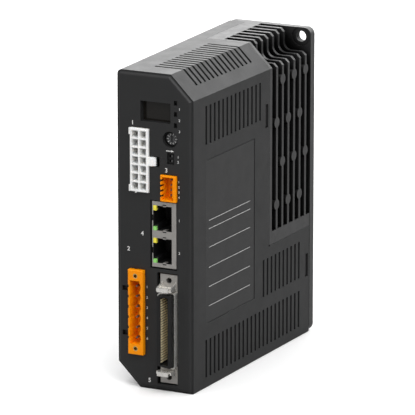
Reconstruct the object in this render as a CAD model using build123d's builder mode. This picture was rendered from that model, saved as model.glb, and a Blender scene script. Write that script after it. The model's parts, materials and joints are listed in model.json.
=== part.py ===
"""Servo drive: a slim wall-mounted electronics housing on a finned heat sink.

Millimetres. X runs to the right as seen from the front, +Y to the rear, +Z up.
The drive stands on its base: the origin is at the middle of the base of its box.
Depths are measured backwards from the front face with depth(). Upper features are
placed from the top and lower ones from the base.
"""

import os
from math import radians, sqrt, tan

from build123d import *

os.makedirs("parts", exist_ok=True)

# ---------------------------------------------------------------- housing
BODY_HEIGHT = 155.0
FACE_WIDTH = 40.2
BODY_DEPTH = 128.0
SIDE_DRAFT = 1.35  # degrees by which each side wall opens towards the rear
CORNER_CUT = 11.8  # leg of the cut top-right and bottom-left corners
CROWN_RADIUS = 2.4  # long top-left edge
BASE_RADIUS = 0.6  # long bottom-right edge
CUT_RADIUS = 1.2  # where a corner cut meets its neighbours
WALL = 2.0
FACE_WALL = 2.4
BEZEL_INSET = 0.8
BEZEL_ROUND = 1.5
BEZEL_STEP = 1.2  # depth at which the full section begins
SEAM = 0.15  # gap between cover and heat sink
FIT_GAP = 0.25  # gap round a socket in its cut-out

# ---------------------------------------------------------------- heat sink
PLATE_THICKNESS = 4.4
PLATE_CORNER = 3.5
SCREW_HOLE = 5.4
HOLE_FROM_SIDE = 5.5
HOLE_FROM_END = 4.5
SPOT_FACE = 9.6
SPOT_DEPTH = 0.4
SINK_DEPTH = 48.1  # heat sink with its plate
SINK_WALL_THICKNESS = 2.4  # front wall of the finned block
FINS = 6
FIN_THICKNESS = 1.9
SINK_BASE_LEVEL = 55.0
SINK_FLOOR = 6.4
SINK_EDGE_X = -12.6  # left face, which carries the power module
SLOT_ROOT_X = -4.1
POCKET_X = 11.0  # fins are cut back to here for the screwdriver
POCKET_DROP = 10.6
POCKET_RADIUS = 4.0
FIN_CHAMFER = 1.7
PAD_RADIUS = 2.6
PAD_ROWS = 4
PAD_TOP_DROP = 19.4
PAD_PITCH = 20.6
LOWER_RELIEF = (5.2, 34.0)  # radius and length of the cover's groove for the lower screw
LATCH_WINDOW = (3.1, 11.8)  # depth and height of a snap window
LATCH_BITE = 1.2  # how far a hook reaches into the wall
HOOK_THICKNESS = 1.6
UPPER_SNAP_LEVEL = BODY_HEIGHT - 34.5
LOWER_SNAP_LEVEL = 35.2
SNAP_AHEAD = 4.6  # window centre ahead of the wall its hook grows from

# ---------------------------------------------------------------- vents and label
VENT_PITCH = 4.26
VENT_WIDTH = 1.7
VENT_HEIGHT = 18.8
VENT_FIRST = 14.0
UPPER_VENTS = 14
LOWER_VENTS = 24
MIDDLE_VENTS = 10
UPPER_VENT_LEVEL = BODY_HEIGHT - 35.4
MIDDLE_VENT_LEVEL = 30.2
LOWER_VENT_LEVEL = 5.0
CROWN_VENT_LEFT = -6.6
CROWN_VENT_RUN = 10.0  # length of a slit down the corner cut
LABEL_RECESS = 0.4
LABEL_DEPTHS = (14.0, 64.1)
LABEL_LEVELS = (31.8, BODY_HEIGHT - 42.9)
LABEL_THICKNESS = 0.2

# ---------------------------------------------------------------- boards
BOARD = 1.6
POWER_BOARD_GAP = 1.0  # board to left wall at the front
CONTROL_BOARD_X = 13.2  # left face of the control board
BOARD_FRONT = 4.0
POWER_BOARD_BACK_GAP = 4.0
CONTROL_BOARD_GAP = 1.2
POWER_BOARD_LEVELS = (14.0, BODY_HEIGHT - 6.0)
CONTROL_BOARD_LEVELS = (3.0, BODY_HEIGHT - 12.0)
DISPLAY_BOARD_DEPTH = 9.6
SPACER_RADIUS = 2.75
SCREW_RADIUS = 1.5
SCREW_HEAD = (2.8, 1.3)  # radius and height

# ---------------------------------------------------------------- front panel
WINDOW = (-7.3, 8.6, BODY_HEIGHT - 23.6, BODY_HEIGHT - 13.8)  # left, right, bottom, top
WINDOW_DEPTH = 3.2
LENS = 1.0
LIGHT_X = 11.25
LIGHT_SIZE = (1.7, 2.3)
LIGHT_SET_BACK = 1.2
LIGHT_LEVELS = (BODY_HEIGHT - 13.3, BODY_HEIGHT - 18.7, BODY_HEIGHT - 24.1)
DIAL_X = 8.3
DIAL_LEVEL = BODY_HEIGHT - 31.2
DIAL_HOLE = 7.8
DIAL_RADIUS = 3.05
DIAL_RUNNING_GAP = 0.08
DIAL_DEPTH = 2.1
DIAL_THICKNESS = 2.6
DIAL_PIVOT = 1.0
ID_BODY = 9.4
DIP_X = 8.6
DIP_LEVEL = BODY_HEIGHT - 40.4
DIP_SIZE = (3.6, 5.2, 4.0)
DIP_PITCH = 2.4
DIP_TRAVEL = 1.0
DIP_KNOB = (0.9, 1.0)
DIP_GAP = 0.06
DIP_FRONT = 0.9  # depth of the switch body's face
DIP_FLOOR = 2.1  # depth of the floor its sliders run on
DIP_KNOB_FRONT = 0.5

# ---------------------------------------------------------------- socket 1: motor and power
MOTOR_X = -7.6
MOTOR_LEVEL = BODY_HEIGHT - 42.55
MOTOR_PITCH = 4.2
MOTOR_ROWS = 7
MOTOR_SIZE = (2 * MOTOR_PITCH + 1.2, MOTOR_ROWS * MOTOR_PITCH + 1.5)
MOTOR_PROUD = 1.4
MOTOR_CELL = 3.4
MOTOR_CELL_DEPTH = 6.5
MOTOR_DEPTH = 13.0
MOTOR_PIN = 1.1
MOTOR_PIN_START = 4.0

# ---------------------------------------------------------------- socket 2: supply
SUPPLY_X = -9.3
SUPPLY_LEVEL = 37.8
SUPPLY_PITCH = 5.08
SUPPLY_WAYS = 6
SUPPLY_ENDS = 11.3  # what both nut blocks add to the height
SUPPLY_SIZE = (8.0, SUPPLY_WAYS * SUPPLY_PITCH + SUPPLY_ENDS)
SUPPLY_PROUD = 2.4
SUPPLY_DEPTH = 12.0
SUPPLY_CAVITY = 3.0  # radius of each scallop
SUPPLY_CAVITY_SIDES = (-2.8, 2.3)  # flat sides from the middle of the row
SUPPLY_CAVITY_DEPTH = 8.2
SUPPLY_PIN = 0.8
SUPPLY_PIN_SET_BACK = 1.7
SUPPLY_NUT_SPACING = SUPPLY_SIZE[1] - 5.9
SUPPLY_NUT = (1.3, 0.8, 6.0)  # outer radius, bore radius, length

# ---------------------------------------------------------------- socket 3: auxiliary
AUX_X = 7.85
AUX_LEVEL = BODY_HEIGHT - 54.85
AUX_PITCH = 2.5
AUX_WAYS = 4
AUX_SIZE = (8.2, AUX_WAYS * AUX_PITCH + 2.7)
AUX_PROUD = 1.5
AUX_DEPTH = 9.0
AUX_WALL = 0.8
AUX_CAVITY_DEPTH = 7.0
AUX_PIN = 0.64
AUX_PIN_START = 2.0

# ---------------------------------------------------------------- socket 4: double network jack
NET_X = 5.05
NET_LEVEL = 77.05
NET_SIZE = (12.8, 32.0)
NET_PITCH = 15.875
NET_SET_BACK = 0.2
NET_DEPTH = 17.0
NET_SHEET = 0.3
PORT_RIGHT = 4.0  # port reaches this far right of the jack's middle
PORT_LEFT = -3.75
PORT_KEY_LEFT = -5.9
PORT_HALF = 6.1
PORT_KEY_HALF = 3.5
PORT_DEPTH = 13.5
NET_CONTACT_PITCH = 1.02
NET_LIGHT_DEPTH = 0.9
NET_LIGHT_WIDTH = 1.65
NET_LIGHT_HEIGHTS = (2.5, 1.8)  # upper and lower corner
NET_CUT_GAPS = (0.95, 0.5, 0.8, 0.5)  # left, right, below, above
FINGER_HALF = 0.8  # half width of the spring finger at the ends of each port
FINGER_REACH = 0.35  # how far it stands into the port
FINGER_LENGTH = 2.5

# ---------------------------------------------------------------- socket 5: signals
SIGNAL_X = 7.25
SIGNAL_LEVEL = 31.0
FLANGE_SIZE = (9.2, 53.7)
FLANGE_THICKNESS = 1.0
FLANGE_DEPTH = 0.8
SIGNAL_PROUD = 4.8
SHELL_PROUD = 2.5
SHELL_SIZE = (9.0, 37.6)
SHELL_SHEET = 0.3
INSULATOR_WALL = 1.3
INSULATOR_GAP = 0.35
SIGNAL_CONTACT = (0.8, 0.2)  # width and thickness
SLOT_WIDTH = 4.1
SIGNAL_DEPTH = 9.0
SIGNAL_PITCH = 1.27
SIGNAL_WAYS = 25
JACK_SPACING = 47.8
JACK_HOLE = 2.8
LATCH_PROUD = 6.5
LATCH_SHEET = 0.7
LATCH_GAP = 0.9

FACE_Y = -(BODY_DEPTH - LATCH_PROUD) / 2
SINK_DEEP = BODY_DEPTH - SINK_DEPTH  # depth of the heat sink's front wall
PLATE_DEEP = BODY_DEPTH - PLATE_THICKNESS
COVER_BACK = PLATE_DEEP - SEAM
POWER_BOARD_X = -FACE_WIDTH / 2 + WALL + POWER_BOARD_GAP + BOARD  # component face
SLOT_PITCH = (PLATE_DEEP - SINK_DEEP - SINK_WALL_THICKNESS + FIN_THICKNESS) / (FINS + 1)
PAD_THICKNESS = 0.3
MODULE_DEPTHS = (SINK_DEEP + 11.5, SINK_DEEP + 35.5)
MODULE_LEVELS = (BODY_HEIGHT - 67.0, BODY_HEIGHT - 29.0)
RECTIFIER_LEVELS = (MODULE_LEVELS[0] - 20.0, MODULE_LEVELS[0] - 6.0)
MODULE_SEAT_X = POWER_BOARD_X + 2.2  # where the clamping screws bear
CHOKE = (11.0, 6.0, 8.0)  # outer and inner radius of the ring core, and its thickness
CHOKE_DEPTH = 42.0
CHOKE_LEVEL = 38.0
CHOKE_X = POWER_BOARD_X + 1.2
WINDING = 0.9
LINK_DEPTH = SINK_DEEP - 8.0
LINK_LEVEL = 112.0
LINK_PITCH = 2.0
LINK_ROWS = 10
LINK_X = POWER_BOARD_X + 9.0  # where the header meets its socket


# ---------------------------------------------------------------- helpers
def depth(value):
    """World Y of a depth behind the front face."""
    return FACE_Y + value


def half_width(value):
    """Half of the housing's outside width at a depth."""
    return FACE_WIDTH / 2 + tan(radians(SIDE_DRAFT)) * max(value - BEZEL_STEP, 0)


def facing(value):
    """Plane that looks out of the front at a depth: local X is X and local Y is Z."""
    return Plane.XZ.offset(-depth(value))


def slab(x, deep, z, mode=Mode.ADD):
    """Block between pairs of X, depth and Z, added to the part being built."""
    centre = (sum(x) / 2, depth(sum(deep) / 2), sum(z) / 2)
    with Locations(centre):
        Box(x[1] - x[0], deep[1] - deep[0], z[1] - z[0], mode=mode)


def rod_across(x, deep, z, radius, mode=Mode.ADD):
    """Round bar along X."""
    with Locations((sum(x) / 2, depth(deep), z)):
        Cylinder(radius, x[1] - x[0], rotation=(0, 90, 0), mode=mode)


def rod_back(x, deep, z, radius, mode=Mode.ADD):
    """Round bar along Y."""
    with Locations((x, depth(sum(deep) / 2), z)):
        Cylinder(radius, deep[1] - deep[0], rotation=(90, 0, 0), mode=mode)


def centred(middle, pitch, count):
    """Evenly spaced values about a middle."""
    return [middle + pitch * (i - (count - 1) / 2) for i in range(count)]


def envelope(front, back, inset):
    """The housing's outer form between two depths, moved inwards by inset."""
    cut = CORNER_CUT - (2 - sqrt(2)) * inset
    near, far = half_width(front) - inset, half_width(back) - inset
    with BuildPart() as form:
        with BuildSketch(Plane.XY.offset(inset)):
            with BuildLine():
                Polyline(
                    (-near, depth(front)),
                    (near, depth(front)),
                    (far, depth(back)),
                    (-far, depth(back)),
                    close=True,
                )
            make_face()
        extrude(amount=BODY_HEIGHT - 2 * inset)
        long_edges = form.edges().filter_by(lambda e: abs(e.tangent_at(0.5).Y) > 0.9)
        right = long_edges.filter_by(lambda e: e.center().X > 0).sort_by(Axis.Z)
        left = long_edges.filter_by(lambda e: e.center().X < 0).sort_by(Axis.Z)
        chamfer([right[-1], left[0]], length=cut)
        crown = form.edges().filter_by(lambda e: abs(e.tangent_at(0.5).Y) > 0.9).filter_by(
            lambda e: e.center().X < 0).sort_by(Axis.Z)[-1]
        fillet(crown, radius=max(CROWN_RADIUS - inset, 0.3))
        base = form.edges().filter_by(lambda e: abs(e.tangent_at(0.5).Y) > 0.9).filter_by(
            lambda e: e.center().X > 0).sort_by(Axis.Z)[0]
        if inset < BASE_RADIUS:
            fillet(base, radius=BASE_RADIUS)
    return form.part


# ---------------------------------------------------------------- cover
def bezel():
    """Front face of the cover, set in from the sides and rounded at its rim."""
    with BuildPart() as face:
        add(envelope(0, FACE_WALL, BEZEL_INSET))
        rim = face.faces().sort_by(Axis.Y)[0].edges()
        fillet(rim, radius=BEZEL_ROUND)
    return face.part


def skin(x, deep, z, thickness):
    """The outermost layer of the housing inside a block."""
    with BuildPart() as layer:
        slab(x, deep, z)
        add(envelope(-1, BODY_DEPTH + 1, thickness), mode=Mode.SUBTRACT)
    return layer.part


def crown_slit(deep):
    """Cutter for one vent that runs over the top and down the corner cut."""
    top, bend = BODY_HEIGHT, half_width(deep) - CORNER_CUT
    run = CROWN_VENT_RUN / sqrt(2)
    lip, under = 0.8, WALL + 0.4
    with BuildPart() as slit:
        with BuildSketch(facing(deep - VENT_WIDTH / 2)):
            with BuildLine():
                Polyline(
                    (CROWN_VENT_LEFT, top + lip),
                    (CROWN_VENT_LEFT, top - under),
                    (bend - lip, top - under),
                    (bend + run - under, top - run - under + lip),
                    (bend + run + lip, top - run + lip),
                    (bend + lip, top + lip),
                    close=True,
                )
            make_face()
        extrude(amount=-VENT_WIDTH)
    return slit.part


def vent_depths(first, count):
    """Depths of the middles of a row of vents, from the first index on."""
    return [VENT_FIRST + VENT_PITCH * (first + i) for i in range(count)]


def snap_windows():
    """Side, depth and level of each snap window: (-1 or 1, depth, level)."""
    upper = (1, SINK_DEEP - SNAP_AHEAD + LATCH_WINDOW[0] / 2 - 0.3, UPPER_SNAP_LEVEL)
    rear = PLATE_DEEP - LATCH_WINDOW[0]
    return [upper, (1, rear, LOWER_SNAP_LEVEL), (-1, rear, LOWER_SNAP_LEVEL), (-1, rear, UPPER_SNAP_LEVEL)]


def signal_cut():
    """X pair and Z pair of the cut-out for socket 5."""
    right = SIGNAL_X + FLANGE_SIZE[0] / 2 + FIT_GAP
    left = SIGNAL_X - FLANGE_SIZE[0] / 2 - 1.35
    half = FLANGE_SIZE[1] / 2 + 0.7
    return (left, right), (SIGNAL_LEVEL - half, SIGNAL_LEVEL + half)


def cavity():
    """Space inside the cover, kept a wall's thickness clear of the lower screw's groove."""
    x, level = screw_places()[1]
    radius, length = LOWER_RELIEF
    with BuildPart() as space:
        add(envelope(FACE_WALL, COVER_BACK + 1, WALL))
        run = (PLATE_DEEP - length - WALL, BODY_DEPTH)
        rod_back(x, run, level, radius + WALL, Mode.SUBTRACT)
    return space.part


def make_cover():
    """Moulded shell: face, sides, top and base in one piece, open at the rear."""
    through = (-1, FACE_WALL + 1)
    with BuildPart() as cover:
        add(envelope(BEZEL_STEP, COVER_BACK, 0))
        add(bezel())
        add(cavity(), mode=Mode.SUBTRACT)
        x, level = screw_places()[1]
        rod_back(x, (PLATE_DEEP - LOWER_RELIEF[1], BODY_DEPTH), level, LOWER_RELIEF[0], Mode.SUBTRACT)
        # frame that the display window sits against
        rim = 1.2
        slab((WINDOW[0] - rim, WINDOW[1] + rim), (FACE_WALL, WINDOW_DEPTH), (WINDOW[2] - rim, WINDOW[3] + rim))
        # room for the heat sink
        slab(
            (SINK_EDGE_X - SEAM, FACE_WIDTH),
            (SINK_DEEP - SEAM, BODY_DEPTH),
            (SINK_BASE_LEVEL - SEAM, BODY_HEIGHT + 1),
            Mode.SUBTRACT,
        )
        rod_across((0, FACE_WIDTH), SINK_DEEP - SEAM, SINK_BASE_LEVEL - SEAM, 0.6, Mode.SUBTRACT)
        # vents
        for deep in vent_depths(0, UPPER_VENTS):
            add(crown_slit(deep), mode=Mode.SUBTRACT)
        rows = (
            (0, UPPER_VENTS, UPPER_VENT_LEVEL),
            (0, LOWER_VENTS, LOWER_VENT_LEVEL),
            (LOWER_VENTS - MIDDLE_VENTS, MIDDLE_VENTS, MIDDLE_VENT_LEVEL),
        )
        for first, count, level in rows:
            for deep in vent_depths(first, count):
                slab(
                    (half_width(deep) - WALL - 0.5, half_width(deep) + 1),
                    (deep - VENT_WIDTH / 2, deep + VENT_WIDTH / 2),
                    (level, level + VENT_HEIGHT),
                    Mode.SUBTRACT,
                )
        # snap windows
        for side, deep, level in snap_windows():
            wall = sorted((side * (half_width(deep) - WALL - 0.5), side * (half_width(deep) + 1)))
            half = (LATCH_WINDOW[0] / 2, LATCH_WINDOW[1] / 2)
            slab(wall, (deep - half[0], deep + half[0]), (level - half[1], level + half[1]), Mode.SUBTRACT)
        # label recess
        add(skin((0, FACE_WIDTH), LABEL_DEPTHS, LABEL_LEVELS, LABEL_RECESS), mode=Mode.SUBTRACT)
        # display window, lights and switches
        slab(WINDOW[:2], (-1, WINDOW_DEPTH + 1), WINDOW[2:], Mode.SUBTRACT)
        for level in LIGHT_LEVELS:
            half = LIGHT_SIZE[1] / 2
            edge = LIGHT_SIZE[0] / 2
            slab((LIGHT_X - edge, LIGHT_X + edge), through, (level - half, level + half), Mode.SUBTRACT)
        rod_back(DIAL_X, through, DIAL_LEVEL, DIAL_HOLE / 2, Mode.SUBTRACT)
        half = (DIP_SIZE[0] / 2 + FIT_GAP / 2, DIP_SIZE[1] / 2 + FIT_GAP / 2)
        tall = (DIP_LEVEL - half[1], DIP_LEVEL + half[1])
        slab((DIP_X - half[0], DIP_X + half[0]), through, tall, Mode.SUBTRACT)
        # socket cut-outs
        sockets = (
            (MOTOR_X, MOTOR_LEVEL, MOTOR_SIZE),
            (SUPPLY_X, SUPPLY_LEVEL, SUPPLY_SIZE),
            (AUX_X, AUX_LEVEL, AUX_SIZE),
        )
        for x, level, size in sockets:
            half = (size[0] / 2 + FIT_GAP, size[1] / 2 + FIT_GAP)
            slab((x - half[0], x + half[0]), through, (level - half[1], level + half[1]), Mode.SUBTRACT)
        left, right, below, above = NET_CUT_GAPS
        slab(
            (NET_X - NET_SIZE[0] / 2 - left, NET_X + NET_SIZE[0] / 2 + right),
            through,
            (NET_LEVEL - NET_SIZE[1] / 2 - below, NET_LEVEL + NET_SIZE[1] / 2 + above),
            Mode.SUBTRACT,
        )
        cut_x, cut_z = signal_cut()
        slab(cut_x, through, cut_z, Mode.SUBTRACT)
        # clearance beside socket 1 for the plug's latch, and beside socket 2 for the plug's clips
        right = MOTOR_X + MOTOR_SIZE[0] / 2
        slab((right, right + 5.6), through, (MOTOR_LEVEL - 2.7, MOTOR_LEVEL + 2.3), Mode.SUBTRACT)
        left = SUPPLY_X - SUPPLY_SIZE[0] / 2
        for level in (SUPPLY_LEVEL - 11.2, SUPPLY_LEVEL + 10.9):
            slab((left - 4.0, left), (-1, 1.6), (level - 1.2, level + 1.2), Mode.SUBTRACT)
    cover.part.label = "cover"
    export_step(cover.part, "parts/cover.step")


# ---------------------------------------------------------------- heat sink
def fin_depths():
    """Depths of the middles of the fins."""
    first = SINK_DEEP + SINK_WALL_THICKNESS + SLOT_PITCH - FIN_THICKNESS / 2
    return [first + SLOT_PITCH * i for i in range(FINS)]


def screwdriver_pocket():
    """Cutter that trims the fins for access to the upper screw."""
    shelf = BODY_HEIGHT - POCKET_DROP
    far = FACE_WIDTH
    with BuildPart() as pocket:
        for index in range(FINS + 1):
            start = SINK_DEEP + SINK_WALL_THICKNESS + SLOT_PITCH * index
            end = start + SLOT_PITCH if index < FINS else PLATE_DEEP
            side = half_width((start + end) / 2)
            with BuildSketch(facing(start)):
                with BuildLine():
                    Polyline(
                        (POCKET_X + POCKET_RADIUS, shelf),
                        (side - FIN_CHAMFER, shelf),
                        (side + 1, shelf - FIN_CHAMFER - 1),
                        (far, shelf - FIN_CHAMFER - 1),
                        (far, BODY_HEIGHT + 1),
                        (POCKET_X - FIN_CHAMFER - 1, BODY_HEIGHT + 1),
                        (POCKET_X, BODY_HEIGHT - FIN_CHAMFER),
                        (POCKET_X, shelf + POCKET_RADIUS),
                    )
                    RadiusArc((POCKET_X, shelf + POCKET_RADIUS), (POCKET_X + POCKET_RADIUS, shelf), -POCKET_RADIUS)
                make_face()
            extrude(amount=start - end)
    return pocket.part


def fin_pads():
    """Round ejector pads on alternate fins, trimmed flush with the housing."""
    with BuildPart() as pads:
        for row in range(PAD_ROWS):
            level = BODY_HEIGHT - PAD_TOP_DROP - PAD_PITCH * row
            for deep in fin_depths()[(row + 1) % 2::2]:
                rod_across((SLOT_ROOT_X, FACE_WIDTH), deep, level, PAD_RADIUS)
        add(envelope(SINK_DEEP, PLATE_DEEP, 0), mode=Mode.INTERSECT)
    return pads.part


def fin_block():
    """Finned part of the heat sink, flush with the cover's outside."""
    with BuildPart() as block:
        slab((SINK_EDGE_X, FACE_WIDTH), (SINK_DEEP, PLATE_DEEP), (SINK_BASE_LEVEL, BODY_HEIGHT + 1))
        add(envelope(SINK_DEEP, PLATE_DEEP, 0), mode=Mode.INTERSECT)
        for index in range(FINS + 1):
            start = SINK_DEEP + SINK_WALL_THICKNESS + SLOT_PITCH * index
            end = start + SLOT_PITCH - FIN_THICKNESS
            tall = (SINK_BASE_LEVEL + SINK_FLOOR, BODY_HEIGHT + 1)
            slab((SLOT_ROOT_X, FACE_WIDTH), (start, end), tall, Mode.SUBTRACT)
        add(screwdriver_pocket(), mode=Mode.SUBTRACT)
    return block.part


def screw_places():
    """X and Z of the two mounting holes, at opposite corners of the plate."""
    x = half_width(BODY_DEPTH) - HOLE_FROM_SIDE
    return [(x, BODY_HEIGHT - HOLE_FROM_END), (-x, HOLE_FROM_END)]


def board_boss_places():
    """Depth and Z of the bosses that carry the power board."""
    levels = (SINK_BASE_LEVEL + 6.0, BODY_HEIGHT - 12.0)
    return [(deep, level) for deep in (SINK_DEEP + 6.0, PLATE_DEEP - 6.0) for level in levels]


def make_heat_sink():
    """Die-cast body: plate, fins, snap hooks and board bosses."""
    half = half_width(BODY_DEPTH)
    with BuildPart() as sink:
        with BuildSketch(facing(BODY_DEPTH)):
            with Locations((0, BODY_HEIGHT / 2)):
                RectangleRounded(2 * half, BODY_HEIGHT, PLATE_CORNER)
        extrude(amount=PLATE_THICKNESS)
        add(fin_block())
        add(fin_pads())
        for x, level in screw_places():
            rod_back(x, (PLATE_DEEP - 6, PLATE_DEEP + SPOT_DEPTH), level, SPOT_FACE / 2, Mode.SUBTRACT)
            rod_back(x, (PLATE_DEEP - 1, BODY_DEPTH + 1), level, SCREW_HOLE / 2, Mode.SUBTRACT)
        # snap hooks
        for side, deep, level in snap_windows():
            inner = half_width(deep) - WALL - FIT_GAP
            root = SINK_DEEP if deep < SINK_DEEP else PLATE_DEEP
            tall = LATCH_WINDOW[1] / 2 - 0.6
            tongue = sorted((side * (inner - HOOK_THICKNESS), side * inner))
            slab(tongue, (deep - LATCH_WINDOW[0] / 2 - 0.6, root + 0.5), (level - tall, level + tall))
            nub = sorted((side * (inner - 0.5), side * (inner + FIT_GAP + LATCH_BITE)))
            reach = LATCH_WINDOW[0] / 2 - 0.3
            slab(nub, (deep - reach, deep + reach), (level - tall, level + tall))
        # bosses for the power board
        for deep, level in board_boss_places():
            rod_across((POWER_BOARD_X, SINK_EDGE_X + 0.5), deep, level, SPACER_RADIUS)
            rod_across((POWER_BOARD_X - 1, SINK_EDGE_X + 3), deep, level, SCREW_RADIUS, Mode.SUBTRACT)
        for deep, level in module_screw_places():
            rod_across((SINK_EDGE_X - 1, SINK_EDGE_X + 5), deep, level, SCREW_RADIUS, Mode.SUBTRACT)
    sink.part.label = "heat_sink"
    export_step(sink.part, "parts/heat_sink.step")


# ---------------------------------------------------------------- front panel pieces
def make_name_plate():
    """Blank plate that lies in the label recess."""
    edge = 0.3
    deep = (LABEL_DEPTHS[0] + edge, LABEL_DEPTHS[1] - edge)
    levels = (LABEL_LEVELS[0] + edge, LABEL_LEVELS[1] - edge)
    with BuildPart() as plate:
        slab((0, FACE_WIDTH), deep, levels)
        add(envelope(-1, BODY_DEPTH + 1, LABEL_RECESS - LABEL_THICKNESS), mode=Mode.INTERSECT)
        add(envelope(-1, BODY_DEPTH + 1, LABEL_RECESS), mode=Mode.SUBTRACT)
    plate.part.label = "name_plate"
    export_step(plate.part, "parts/name_plate.step")


def make_display_window():
    """Smoked lens behind the display cut-out."""
    edge = 0.9
    with BuildPart() as lens:
        slab(
            (WINDOW[0] - edge, WINDOW[1] + edge),
            (WINDOW_DEPTH, WINDOW_DEPTH + LENS),
            (WINDOW[2] - edge, WINDOW[3] + edge),
        )
    lens.part.label = "display_window"
    export_step(lens.part, "parts/display_window.step")


def make_display_digits():
    """Five-digit display module between the lens and its board."""
    digits = 5
    front = WINDOW_DEPTH + LENS
    wide = (WINDOW[1] - WINDOW[0]) / digits
    with BuildPart() as module:
        slab(WINDOW[:2], (front, DISPLAY_BOARD_DEPTH), (WINDOW[2] + 0.3, WINDOW[3] - 0.3))
        for index in range(digits):
            left = WINDOW[0] + wide * index
            slab((left - 0.05, left + 0.05), (front - 1, front + 0.2), (0, BODY_HEIGHT), Mode.SUBTRACT)
    module.part.label = "display_digits"
    export_step(module.part, "parts/display_digits.step")


def make_display_board():
    """Small upright board behind the face for the display, lights and switches."""
    back = (DISPLAY_BOARD_DEPTH, DISPLAY_BOARD_DEPTH + BOARD)
    shelf = MOTOR_LEVEL + MOTOR_SIZE[1] / 2 + 1.2
    with BuildPart() as board:
        slab((WINDOW[0] - 1.2, CONTROL_BOARD_X), back, (shelf, WINDOW[3] + 3.2))
        slab((MOTOR_X + MOTOR_SIZE[0] / 2 + 1.2, CONTROL_BOARD_X), back, (AUX_LEVEL + AUX_SIZE[1] / 2 + 1, shelf))
    board.part.label = "display_board"
    export_step(board.part, "parts/display_board.step")


def make_status_light_pipes():
    """Three light pipes joined by a thin bar behind the face."""
    half = (LIGHT_SIZE[0] / 2 - 0.08, LIGHT_SIZE[1] / 2 - 0.08)
    bar = (FACE_WALL + 0.4, FACE_WALL + 1.4)
    with BuildPart() as pipes:
        for level in LIGHT_LEVELS:
            span = (level - half[1], level + half[1])
            slab((LIGHT_X - half[0], LIGHT_X + half[0]), (LIGHT_SET_BACK, DISPLAY_BOARD_DEPTH - 0.9), span)
        slab((LIGHT_X - 0.4, LIGHT_X + 0.4), bar, (LIGHT_LEVELS[-1], LIGHT_LEVELS[0]))
    pipes.part.label = "status_light_pipes"
    export_step(pipes.part, "parts/status_light_pipes.step")


def make_status_leds():
    """Light sources on the display board, one behind each pipe."""
    deep = (DISPLAY_BOARD_DEPTH - 0.8, DISPLAY_BOARD_DEPTH)
    with BuildPart() as leds:
        for level in LIGHT_LEVELS:
            slab((LIGHT_X - 0.8, LIGHT_X + 0.8), deep, (level - 0.6, level + 0.6))
    leds.part.label = "status_leds"
    export_step(leds.part, "parts/status_leds.step")


def make_id_switch_body():
    """Body of the rotary setting switch, on the display board."""
    half = ID_BODY / 2
    front = FACE_WALL + 0.1
    back = DIAL_DEPTH + DIAL_THICKNESS
    with BuildPart() as body:
        slab((DIAL_X - half, DIAL_X + half), (front, DISPLAY_BOARD_DEPTH), (DIAL_LEVEL - half, DIAL_LEVEL + half))
        pocket = DIAL_RADIUS + DIAL_RUNNING_GAP
        rod_back(DIAL_X, (front - 1, back + 0.1), DIAL_LEVEL, pocket, Mode.SUBTRACT)
        rod_back(DIAL_X, (back, back + 2.2), DIAL_LEVEL, DIAL_PIVOT + DIAL_RUNNING_GAP, Mode.SUBTRACT)
    body.part.label = "id_switch_body"
    export_step(body.part, "parts/id_switch_body.step")


def make_id_switch_dial():
    """Dial of the rotary setting switch, with an arrow-shaped driver slot."""
    back = DIAL_DEPTH + DIAL_THICKNESS
    with BuildPart() as dial:
        rod_back(DIAL_X, (DIAL_DEPTH, back), DIAL_LEVEL, DIAL_RADIUS)
        chamfer(dial.faces().sort_by(Axis.Y)[0].edges(), length=0.25)
        rod_back(DIAL_X, (back, back + 2.0), DIAL_LEVEL, DIAL_PIVOT)
        with BuildSketch(facing(DIAL_DEPTH)):
            with Locations((DIAL_X, DIAL_LEVEL)):
                Rectangle(0.8, 3.6)
                with Locations((0, 1.9)):
                    Triangle(a=2.0, b=1.6, c=1.6)
        extrude(amount=-0.8, mode=Mode.SUBTRACT)
    dial.part.label = "id_switch_dial"
    export_step(dial.part, "parts/id_switch_dial.step")


def make_dip_switch_body():
    """Body of the two-way slide switch."""
    half = (DIP_SIZE[0] / 2, DIP_SIZE[1] / 2)
    knob = (DIP_KNOB[0] / 2, DIP_KNOB[1] / 2)
    back = DIP_FRONT + DIP_SIZE[2]
    with BuildPart() as body:
        slab((DIP_X - half[0], DIP_X + half[0]), (DIP_FRONT, back), (DIP_LEVEL - half[1], DIP_LEVEL + half[1]))
        slab((DIP_X - 1, DIP_X + 1), (back, DISPLAY_BOARD_DEPTH), (DIP_LEVEL - 2, DIP_LEVEL + 2))
        for level in centred(DIP_LEVEL, DIP_PITCH, 2):
            reach = DIP_TRAVEL / 2 + knob[0] + DIP_GAP
            slot = (level - knob[1] - DIP_GAP, level + knob[1] + DIP_GAP)
            slab((DIP_X - reach, DIP_X + reach), (DIP_FRONT - 1, DIP_FLOOR), slot, Mode.SUBTRACT)
    body.part.label = "dip_switch_body"
    export_step(body.part, "parts/dip_switch_body.step")


def dip_slider(level):
    """One slider, at the right-hand end of its slot."""
    knob = (DIP_KNOB[0] / 2, DIP_KNOB[1] / 2)
    rest = DIP_X + DIP_TRAVEL / 2
    deep = (DIP_KNOB_FRONT, DIP_FLOOR - DIP_GAP)
    with BuildPart() as slider:
        slab((rest - knob[0], rest + knob[0]), deep, (level - knob[1], level + knob[1]))
        chamfer(slider.faces().sort_by(Axis.Y)[0].edges(), length=0.12)
    return slider.part


def make_dip_slider_1():
    """Upper slider."""
    with BuildPart() as upper:
        add(dip_slider(centred(DIP_LEVEL, DIP_PITCH, 2)[1]))
    upper.part.label = "dip_slider_1"
    export_step(upper.part, "parts/dip_slider_1.step")


def make_dip_slider_2():
    """Lower slider."""
    with BuildPart() as lower:
        add(dip_slider(centred(DIP_LEVEL, DIP_PITCH, 2)[0]))
    lower.part.label = "dip_slider_2"
    export_step(lower.part, "parts/dip_slider_2.step")


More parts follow.
